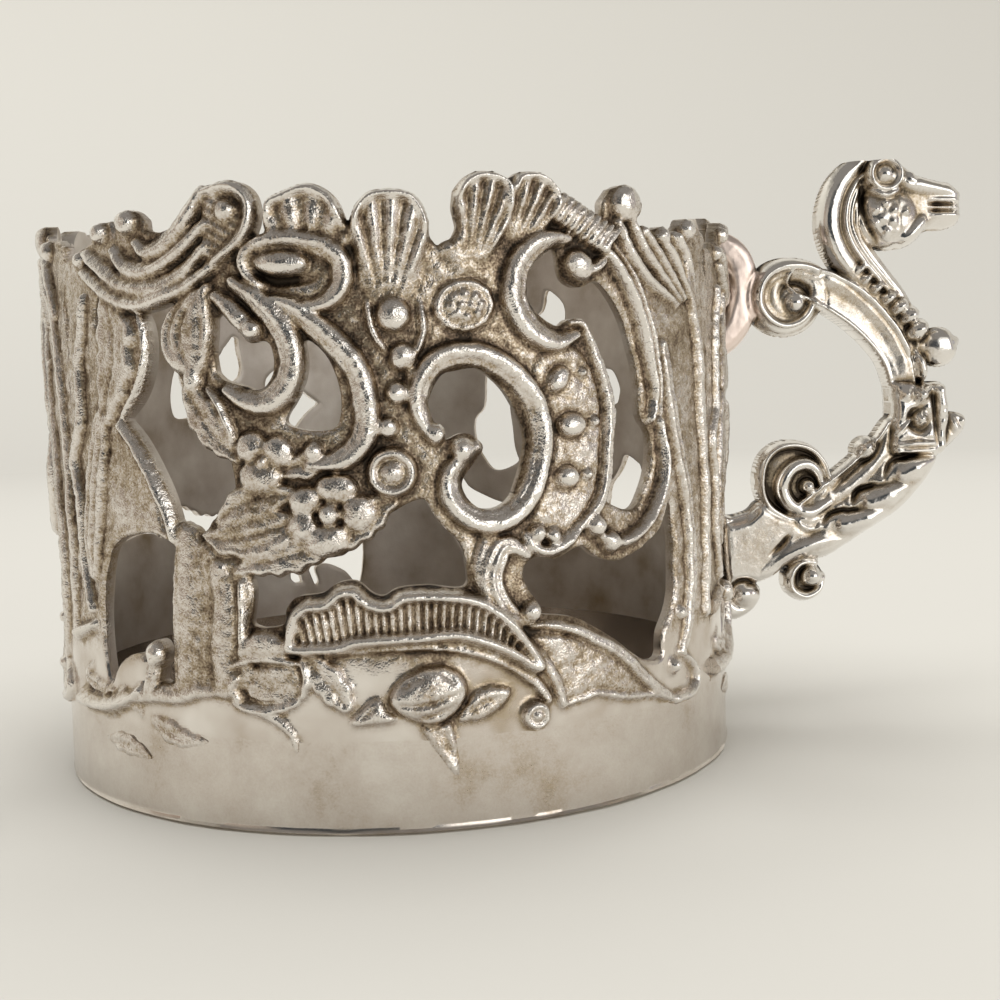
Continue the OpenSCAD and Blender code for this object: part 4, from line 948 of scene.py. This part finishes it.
handle.dome("lower_volute", (803, 577), 19, 1.7)
handle.rib("lower_volute", [(812, 561), (797, 561), (787, 572), (788, 587), (801, 594), (814, 588),
                            (819, 575)], 12, 2.5, ROUND, EVEN)
handle.dome("lower_volute", (807, 574), 11, 2.8, groove=0.3)
handle.field("lower_volute", [(718, 582), (738, 578), (755, 583), (759, 594), (753, 606), (742, 615),
                              (728, 619), (718, 612)], 2.2, edge=0.8)
handle.carve([(754, 586), (744, 578), (731, 581), (726, 595), (734, 604)], 5, 0.8)
handle.dome("lower_volute", (740, 592), 12, 2.6)
print(len(handle.names) - 1, "parts of the handle so far")

# %% [markdown]
# The neck is one stroke with five ridges across it, like rows of feathers. The head is built up from two
# domes and a tapered field for the beak; its eye, lips and cheek are small strokes on top of them.

# %% Neck and head
handle.rib("thumb_neck", [(858, 172), (846, 186), (838, 204), (836, 226), (842, 246), (854, 264), (871, 283),
                          (888, 302), (902, 324), (911, 346)], 42, 2.3, FEATHERS,
           (0.8, 1, 1.08, 1.1, 1.05, 0.95, 0.85, 0.75, 0.6))
handle.dome("thumb_head", (880, 184), 26, 2.7)
handle.dome("thumb_head", (882, 219), 31, 3.1, stretch=1.06, turn=-30)
handle.field("thumb_head", [(890, 166), (903, 168), (914, 178), (930, 183), (945, 183), (955, 192),
                            (957, 206), (956, 222), (943, 230), (926, 231), (914, 237), (902, 246),
                            (892, 230)], 2.1, edge=1.3)
handle.rib("thumb_head", [(888, 180), (902, 184), (918, 188), (936, 191), (952, 196)], 22, 2.75, ROUND,
           (1, 1, 0.9, 0.75, 0.5), groove=0.0)
handle.rib("thumb_head", [(886, 243), (899, 239), (910, 229), (920, 214)], 20, 2.95, ROUND,
           (0.5, 0.9, 1, 1, 0.8, 0.3), groove=0.0)
handle.rib("thumb_head", [(922, 201), (934, 202), (946, 202), (953, 202)], 6, 2.35, ROUND, EVEN, groove=0.0)
handle.rib("thumb_head", [(924, 217), (934, 217), (946, 217), (953, 217)], 7, 2.35, ROUND, EVEN, groove=0.0)
handle.carve([(922, 206), (934, 206), (946, 206), (958, 206)], 3.5, 0.9)
handle.carve([(922, 212), (934, 212), (946, 212), (958, 212)], 3, 0.9)
handle.dome("thumb_head", (878, 177), 19, 3.15, ring=0.56)
handle.rib("thumb_head", [(862, 192), (878, 198), (895, 190)], 7, 3.2, ROUND, FULL)
handle.dome("thumb_head", (905, 178), 6, 2.7)
for place in ((868, 212), (877, 206), (886, 212), (874, 221), (885, 224), (866, 226), (878, 234),
              (897, 214)):
    handle.dome("thumb_head", place, 5.5, 3.2, groove=0.05)
handle.carve([(856, 182), (857, 204), (859, 220), (867, 237), (879, 250), (892, 256)], 6, 0.8)
print(len(handle.names) - 1, "parts of the handle so far")

# %% [markdown]
# A row of growing beads follows the neck down to a round boss. A square collar hides the joint with the
# lower strap, and a lobed leaf covers that strap: its lobes are short ribs, and hollows are carved
# between them, because a lobe reads by the shadow beside it.

# %% Beads, collar and leaf
for place, size in (((855, 270), 4), ((861, 280), 4.5), ((871, 289), 5), ((883, 299), 6), ((894, 308), 7),
                    ((905, 316), 8), ((913, 330), 9)):
    handle.dome("neck_beads", place, 1.15 * size, 2.2 + 0.11 * size, stretch=1.35, turn=30)
handle.dome("boss", (936, 347), 20, 1.9)
handle.dome("boss", (953, 341), 5, 1.0)
handle.rib("boss", [(910, 352), (916, 366), (918, 382)], 16, 2.6, ROUND, FULL)
handle.field("collar", [(887, 383), (912, 382), (938, 382), (942, 396), (944, 410), (940, 430), (936, 454),
                        (888, 454), (886, 430), (886, 405)], 2.9, edge=0.8)
handle.carve([(914, 406), (904, 412), (903, 424), (912, 430), (921, 422), (920, 410)], 8, 0.6)
handle.dome("collar", (913, 394), 9, 3.7)
handle.dome("collar", (898, 394), 7, 3.4)
handle.dome("collar", (912, 418), 8, 3.5)
handle.rib("collar", [(889, 444), (908, 442), (926, 442)], 6, 3.6, ROUND, EVEN)
handle.rib("collar", [(889, 451), (908, 450), (927, 449)], 5, 3.5, ROUND, EVEN)
handle.rib("collar", [(888, 434), (903, 418)], 4, 3.3, ROUND, EVEN)
handle.carve([(925, 383), (927, 410), (929, 436), (932, 454)], 7, 0.9)
handle.field("spur", [(934, 412), (946, 411), (958, 413), (964, 418), (961, 430), (952, 440), (941, 450),
                      (934, 452)], 1.3, edge=0.5)
handle.rib("spur", [(937, 416), (938, 432), (938, 448)], 6, 1.6)
handle.rib("spur", [(947, 416), (951, 426), (956, 434)], 8, 1.7)
handle.dome("spur", (960, 420), 4, 1.4)
handle.field("acanthus_leaf", [(932, 452), (929, 468), (914, 489), (894, 510), (867, 528), (841, 545),
                               (818, 557), (796, 556), (806, 536), (816, 516), (842, 496), (866, 476),
                               (882, 457), (900, 452)], 2.5, edge=1.2)
for line in ([(897, 473), (908, 466), (920, 459), (928, 454)], [(864, 500), (880, 494), (898, 484),
                                                                (914, 474)],
             [(838, 522), (856, 517), (876, 506), (896, 494)]):
    handle.rib("acanthus_leaf", line, 28, 3.4, ROUND, (0.9, 1, 0.7, 0.25), groove=0.06)
handle.rib("acanthus_leaf", [(836, 538), (814, 542), (792, 550), (775, 560), (762, 570)], 24, 2.8, ROLLED,
           (0.6, 1, 1, 0.8, 0.5), groove=0.06)
for line in ([(877, 478), (885, 461), (902, 455), (918, 450)], [(846, 504), (852, 490), (868, 484),
                                                                (884, 482)],
             [(817, 522), (826, 511), (844, 508), (862, 508)], [(784, 533), (776, 543), (764, 553)]):
    handle.carve(line, 5, 0.7)
print(len(handle.names) - 1, "parts of the handle in all")

# %% [markdown]
# A handle is filed and polished after casting, so its noise is much finer than the wall's, and its edges
# are rounded over more than a millimetre. The front and the back are the same sheet, mirrored.

# %% Cast of the handle
edge_reach = 1.2
edge_share = 0.6
thinnest_half = 0.5
end_margin = 0.02
cover_limit = 3
handle.cast(1.0, grain_high=0.004, lump_high=0.018, seed=8)
handle.cut(blur(np.clip(handle.cover, -cover_limit, cover_limit), 1, 1))
handle.place_y = np.minimum(handle.place_y, handle_high.z - end_margin)
handle.place_x = np.minimum(handle.place_x, handle_high.x - end_margin)
edge = np.clip(1 - handle.metal / edge_reach, 0, steepest)
half_thick = np.maximum(handle.height, thinnest_half) * (1 - edge_share * (1 - np.sqrt(1 - edge ** 2)))
handle.front = np.stack([handle.place_x, -half_thick, handle.place_y], -1) * MM
handle.back = np.stack([handle.place_x, half_thick, handle.place_y], -1) * MM
handle.calm = np.zeros(handle.X.shape)
for mark, node in enumerate(handle.names[1:], 1):
    finish_mesh(cast_piece(handle, mark), node + "_cast", "silver_handle", node)

# %% [markdown]
# The band under the openwork is a plain ring, turned and polished, with the soft dents of long use. Its
# profile is spun once round, and each point then moves a few hundredths inwards. The round base plate
# closes it from below. Its rim is flush with the band, and at the front right it stands out a little,
# as a thin, uneven line of solder.

# %% Turned pieces
ring_steps = 360
crease = math.radians(40)


def wobble(turn, height):
    """A smooth unevenness between 0 and 1 round the ring, the same in every run."""
    waves = (math.sin(3 * turn + 0.6) + math.sin(7 * turn + 0.35 * height)
             + math.sin(13 * turn - 0.5 * height) + 0.6 * math.sin(29 * turn + 0.9 * height))
    return 0.5 + waves / 7.2


def turned(profile):
    """A closed ring or disc from a profile of radii and heights."""
    bm = bmesh.new()
    line = [bm.verts.new((r, 0, z)) for r, z in profile]
    edges = [bm.edges.new(pair) for pair in zip(line, line[1:] + line[:1])]
    bmesh.ops.spin(bm, geom=line + edges, axis=(0, 0, 1), cent=(0, 0, 0), angle=2 * math.pi,
                   steps=ring_steps, use_merge=True)
    bmesh.ops.remove_doubles(bm, verts=bm.verts, dist=0.001)
    return bm


def to_metres(bm):
    bmesh.ops.scale(bm, vec=(MM, MM, MM), verts=bm.verts)
    bmesh.ops.recalc_face_normals(bm, faces=bm.faces)
    for f in bm.faces:
        f.smooth = True
    for e in bm.edges:
        e.smooth = len(e.link_faces) < 2 or e.calc_face_angle() < crease
    return bm


# %% [markdown]
# A plain pipe would look machined. The same slow waves that dent the band also decide how far the
# plate's rim reaches out, so both look worked by hand, and both come out alike in every run.

# %% Band and base plate
band_levels = 12
dent = 0.06
flush = 0.04
rim_step = 0.1
disc_mid_r = 20
levels = [plate_top + (band_top - plate_top) * i / band_levels for i in range(band_levels + 1)]
bm = turned([(r_out, z) for z in levels] + [(r_in, band_top), (r_in, plate_top)])
for v in bm.verts:
    r = math.hypot(v.co.x, v.co.y)
    if r > r_out - rim_step:
        share = 1 - dent * wobble(math.atan2(v.co.y, v.co.x), v.co.z) / r
        v.co.x, v.co.y = v.co.x * share, v.co.y * share
finish_mesh(to_metres(bm), "base_band_ring", "silver_plain", "base_band")

bm = turned([(0, 0), (r_out - 0.3, 0), (r_out - flush, 0.1), (plate_r, 0.3), (r_out - flush, 0.5),
             (r_out - dent, plate_top), (r_in, plate_top), (disc_mid_r, plate_top), (0, plate_top)])
for v in bm.verts:
    r = math.hypot(v.co.x, v.co.y)
    if r > r_out + rim_step:
        turn = math.atan2(v.co.y, v.co.x)
        reach = wobble(1.7 * turn, 9.0 * v.co.z) * (0.5 + 0.5 * math.cos(turn + 0.9))
        share = (r_out + 0.03 + (r - r_out - 0.03) * reach) / r
        v.co.x, v.co.y = v.co.x * share, v.co.y * share
finish_mesh(to_metres(bm), "base_plate_disc", "silver_plain", "base_plate")
print(f"band from {plate_top:.1f} to {band_top:.1f} mm, plate {plate_r:.1f} mm in radius")


# %% [markdown]
# Old silver is bright where hands rub it and dark where they can't reach. The recess value on each
# point says how deep it lies: high spots are worn to pale metal, and hollows turn yellow-brown to
# black and rougher, which is partly a film of tarnish and partly painted shade. Nodes read that
# value, and a few helpers keep their making short.

# %% Node helpers
def node(tree, kind, ins=None, **settings):
    made = tree.nodes.new(kind)
    for key, value in settings.items():
        setattr(made, key, value)
    for key, value in (ins or {}).items():
        if isinstance(value, bpy.types.NodeSocket):
            tree.links.new(value, made.inputs[key])
        else:
            made.inputs[key].default_value = value
    return made


def add_up(tree, a, b, operation="ADD"):
    return node(tree, "ShaderNodeMath", {0: a, 1: b}, operation=operation).outputs[0]


def noise(tree, where, scale, detail=3.0):
    """Noise about zero; the scale is in waves per millimetre."""
    made = node(tree, "ShaderNodeTexNoise", {"Vector": where, "Scale": scale / MM, "Detail": detail})
    return add_up(tree, made.outputs[0], 0.5, "SUBTRACT")


def ramp(tree, value, stops):
    made = node(tree, "ShaderNodeValToRGB", {"Fac": value})
    elements = made.color_ramp.elements
    elements[0].position, elements[0].color = stops[0][0], (*stops[0][1], 1)
    elements[1].position, elements[1].color = stops[-1][0], (*stops[-1][1], 1)
    for position, colour in stops[1:-1]:
        elements.new(position).color = (*colour, 1)
    return made.outputs[0]


def spread(tree, value, low, high, to_low, to_high):
    ins = {"Value": value, "From Min": low, "From Max": high, "To Min": to_low, "To Max": to_high}
    return node(tree, "ShaderNodeMapRange", ins).outputs[0]


# %% [markdown]
# Noise in three sizes breaks the film and the painted shade up: broad clouds, mottling and grit. They
# change both the colour and the roughness, because dirty silver is dull as well as dark, and the noise
# also feeds a bump, since it is too fine for the mesh. All of it sits in a node group, one for each
# finish.


# %% Old silver
def silver_group(name, stops, shade_and_tarnish_share, mottle, rough, bump, dents=0.0, stains=None):
    """Colour, roughness and normal of old silver, with tarnish and painted shade in the hollows, from the
    values on the points and the noise.
    """
    tree = bpy.data.node_groups.new(name, "ShaderNodeTree")
    for socket, kind in (("Base Color", "NodeSocketColor"), ("Roughness", "NodeSocketFloat"),
                         ("Normal", "NodeSocketVector")):
        tree.interface.new_socket(socket, in_out="OUTPUT", socket_type=kind)
    where = node(tree, "ShaderNodeTexCoord").outputs["Object"]
    recess = node(tree, "ShaderNodeAttribute", attribute_name="recess").outputs["Fac"]
    calm = node(tree, "ShaderNodeAttribute", attribute_name="calm").outputs["Fac"]
    inner = node(tree, "ShaderNodeAttribute", attribute_name="inner").outputs["Fac"]
    broad, fine, grit = noise(tree, where, 0.16), noise(tree, where, 1.1, 4.0), noise(tree, where, 5.0, 2.0)
    # Painted shade together with tarnish: the deeper a point lies, the darker its colour.
    film_and_shade = add_up(tree, add_up(tree, recess, shade_and_tarnish_share, "MULTIPLY"),
                  add_up(tree, broad, stains or mottle, "MULTIPLY"))
    film_and_shade = add_up(tree, film_and_shade, add_up(tree, fine, mottle, "MULTIPLY"))
    film_and_shade = add_up(tree, film_and_shade, add_up(tree, grit, 1.2 * mottle, "MULTIPLY"))
    film_and_shade = add_up(tree, film_and_shade, 0.5)
    rest = add_up(tree, add_up(tree, broad, 0.9, "MULTIPLY"), 0.36)
    film_and_shade = node(tree, "ShaderNodeMix", {"Factor": calm, 2: film_and_shade, 3: rest}).outputs[0]
    height = add_up(tree, add_up(tree, fine, 1.4, "MULTIPLY"), add_up(tree, broad, dents, "MULTIPLY"))
    height = add_up(tree, height, grit)
    strength = spread(tree, calm, 0.0, 1.0, 1.0, 0.12)
    out = node(tree, "NodeGroupOutput")
    tree.links.new(ramp(tree, film_and_shade, stops), out.inputs["Base Color"])
    matt = add_up(tree, add_up(tree, inner, 0.3, "MULTIPLY"), spread(tree, film_and_shade, 0.25, 0.85, rough[0],
            rough[1]))
    tree.links.new(matt, out.inputs["Roughness"])
    tree.links.new(node(tree, "ShaderNodeBump", {"Height": height, "Distance": bump * MM,
                                                 "Strength": strength}).outputs[0], out.inputs["Normal"])
    return tree


def silver_material(name, group):
    made = bpy.data.materials.new(name)
    made.use_nodes = True
    tree = made.node_tree
    shader = tree.nodes["Principled BSDF"]
    shader.inputs["Metallic"].default_value = 1.0
    effect = node(tree, "ShaderNodeGroup", node_tree=group)
    for socket in effect.outputs:
        tree.links.new(socket, shader.inputs[socket.name])
    return made


# %% [markdown]
# Four finishes differ only in their numbers. The castings are rough, with hollows darkened by tarnish
# and by painted shade, the handle is rubbed bright by fingers and has the same painted shade in its
# hollows, the band and the plate are polished, and the strap beside the upper spiral has a copper
# blush. Names tell which piece gets which.

# %% Finishes
# Pale worn metal, then gold, brown and near black for the hollows, which are tarnish and painted shade.
worn, warm, film_and_shade_gold, film_and_shade_brown, film_and_shade_black = ((0.84, 0.80, 0.75), (0.63, 0.57, 0.51), (0.42, 0.34, 0.24),
                                                 (0.18, 0.13, 0.09), (0.045, 0.035, 0.026))
cast_stops = [(0.14, worn), (0.43, warm), (0.6, film_and_shade_gold), (0.8, film_and_shade_brown), (1.0, film_and_shade_black)]
aged = silver_material("aged_cast_silver", silver_group(
    "aged_film_and_shade", cast_stops, shade_and_tarnish_share=0.72, mottle=0.62, rough=(0.13, 0.42), bump=0.06))
handled = silver_material("handled_cast_silver", silver_group("thin_film_and_shade",
                                                              [(0.2, (0.84, 0.81, 0.77)),
                                                               (0.5, (0.66, 0.61, 0.55)), (0.72, film_and_shade_gold),
                                                               (1.0, film_and_shade_black)], shade_and_tarnish_share=0.8,
                                                              mottle=0.34, rough=(0.14, 0.38), bump=0.012))
polished = silver_material("polished_silver", silver_group(
    "faint_film", [(0.14, worn), (0.58, warm), (0.78, film_and_shade_gold), (1.0, film_and_shade_brown)],
    shade_and_tarnish_share=0.0, mottle=0.2, rough=(0.08, 0.34), bump=0.004, dents=22, stains=0.8))
rosy = silver_material("rosy_silver", silver_group(
    "rosy_film_and_shade", [(0.2, (0.86, 0.74, 0.68)), (0.6, (0.80, 0.66, 0.58)), (1.0, (0.35, 0.25, 0.18))],
    shade_and_tarnish_share=0.5, mottle=0.15, rough=(0.28, 0.42), bump=0.006))
for o in bpy.data.objects:
    if o.type == "MESH" and o.name.split(".")[0].endswith(("_cast", "_ring", "_disc")):
        of_handle = o.name.removesuffix("_cast") in handle.names
        finish = polished if o.name.startswith("base_") else handled if of_handle else aged
        o.data.materials.clear()
        o.data.materials.append(rosy if o.name.startswith("ear_strap") else finish)
print([made.name for made in (aged, handled, polished, rosy)])

# %% [markdown]
# Polished metal shows the room more than itself. The surroundings are a plain studio: a pale floor, a
# backdrop that curves up from it, a dark side behind the camera, a tall bright window to the front right
# and a soft lamp overhead. The metal shows the floor and the back half of the backdrop. The half behind
# the camera only closes the picture in views from the back, and reflections go past it to the room.

# %% Floor and backdrop
floor_r = 0.55
bend_r = 0.35
backdrop_top = 1.2
bend = [(floor_r + bend_r * math.sin(a), bend_r - bend_r * math.cos(a))
        for a in (math.radians(6 * i) for i in range(16))]
paper = bpy.data.materials.new("backdrop_paper")
paper.use_nodes = True
paper_shader = paper.node_tree.nodes["Principled BSDF"]
paper_shader.inputs["Base Color"].default_value = (0.565, 0.55, 0.505, 1)
paper_shader.inputs["Roughness"].default_value = 0.9
paper_shader.inputs["Specular IOR Level"].default_value = 0.0


def paper_sheet(name, profile, turn):
    """Paper of the studio: pairs of radius and height, turned about the vertical from the +X side."""
    bm = bmesh.new()
    line = [bm.verts.new((r, 0, z)) for r, z in profile]
    edges = [bm.edges.new(pair) for pair in zip(line[:-1], line[1:])]
    bmesh.ops.spin(bm, geom=line + edges, axis=(0, 0, 1), cent=(0, 0, 0), angle=turn,
                   steps=round(abs(turn) / math.pi * 48))
    bmesh.ops.remove_doubles(bm, verts=bm.verts, dist=1e-5)
    for f in bm.faces:
        f.smooth = True
    mesh = bpy.data.meshes.new(name)
    bm.to_mesh(mesh)
    bm.free()
    mesh.materials.append(paper)
    made = bpy.data.objects.new(name, mesh)
    bpy.context.scene.collection.objects.link(made)
    made.visible_diffuse = made.visible_shadow = False
    return made


upright = bend + [(floor_r + bend_r, backdrop_top)]
paper_sheet("floor", [(r, 0) for r in (0, 0.15, 0.3, floor_r)], 2 * math.pi)
paper_sheet("backdrop_back", upright, math.pi)
camera_half = paper_sheet("backdrop_front", upright, -math.pi)
camera_half.visible_glossy = camera_half.visible_transmission = False
print(f"backdrop {2 * (floor_r + bend_r):.1f} m across")

# %% [markdown]
# The light comes from the world, whose colour changes with direction like the walls of a room: a dark
# side and a tall window in front of the object, beige and grey sides, and a dim ceiling. A picture of a
# real room would do the same, but a ramp over the compass needs no file. The lamp overhead is large, so
# it only softens the light, and it is left out of the reflections.

# %% Room and lamp
room_strength = 2.2
beige, night, window, streak, lavender, greenish, pale = (
    (0.23, 0.205, 0.178), (0.022, 0.025, 0.028), (1.0, 0.99, 0.96), (0.10, 0.06, 0.04), (0.24, 0.23, 0.25),
    (0.16, 0.16, 0.14), (0.30, 0.29, 0.27))
by_azimuth = [(-180, pale), (-120, pale), (-90, beige), (-80, (0.18, 0.14, 0.11)), (-70, beige),
              (-47, beige), (-43, night), (9, night), (16, window), (58, window), (65, streak),
              (74, lavender), (100, greenish), (140, pale), (180, pale)]
world = bpy.data.worlds.new("room")
bpy.context.scene.world = world
world.use_nodes = True
tree = world.node_tree
towards = node(tree, "ShaderNodeTexCoord").outputs["Generated"]
direction = node(tree, "ShaderNodeSeparateXYZ", {0: towards}).outputs
azimuth = add_up(tree, direction[0], add_up(tree, direction[1], -1.0, "MULTIPLY"), "ARCTAN2")
share = spread(tree, azimuth, -math.pi, math.pi, 0.0, 1.0)
around = ramp(tree, share, [(a / 360 + 0.5, colour) for a, colour in by_azimuth])
below = spread(tree, direction[2], -0.35, -0.7, 0.0, 1.0)
low_room, ceiling = (0.34, 0.32, 0.29, 1), (0.12, 0.113, 0.105, 1)
with_floor = node(tree, "ShaderNodeMix", {"Factor": below, 6: around, 7: low_room}, data_type="RGBA")
overhead = spread(tree, direction[2], 0.25, 0.6, 0.0, 1.0)
room = node(tree, "ShaderNodeMix", {"Factor": overhead, 6: with_floor.outputs[2], 7: ceiling},
            data_type="RGBA")
tree.links.new(room.outputs[2], tree.nodes["Background"].inputs["Color"])
tree.nodes["Background"].inputs["Strength"].default_value = room_strength

lamp = bpy.data.lights.new("overhead", "AREA")
lamp.energy = 14
lamp.size = 1.2
lamp_object = bpy.data.objects.new("overhead", lamp)
lamp_object.location = (0, 0.1, 0.9)
lamp_object.visible_glossy = False
bpy.context.scene.collection.objects.link(lamp_object)
print(f"world strength {room_strength}, lamp {lamp.energy} W")

# %% [markdown]
# Last, the view shows colours as they are written.

# %% Finish
bpy.context.scene.view_settings.view_transform = "Standard"
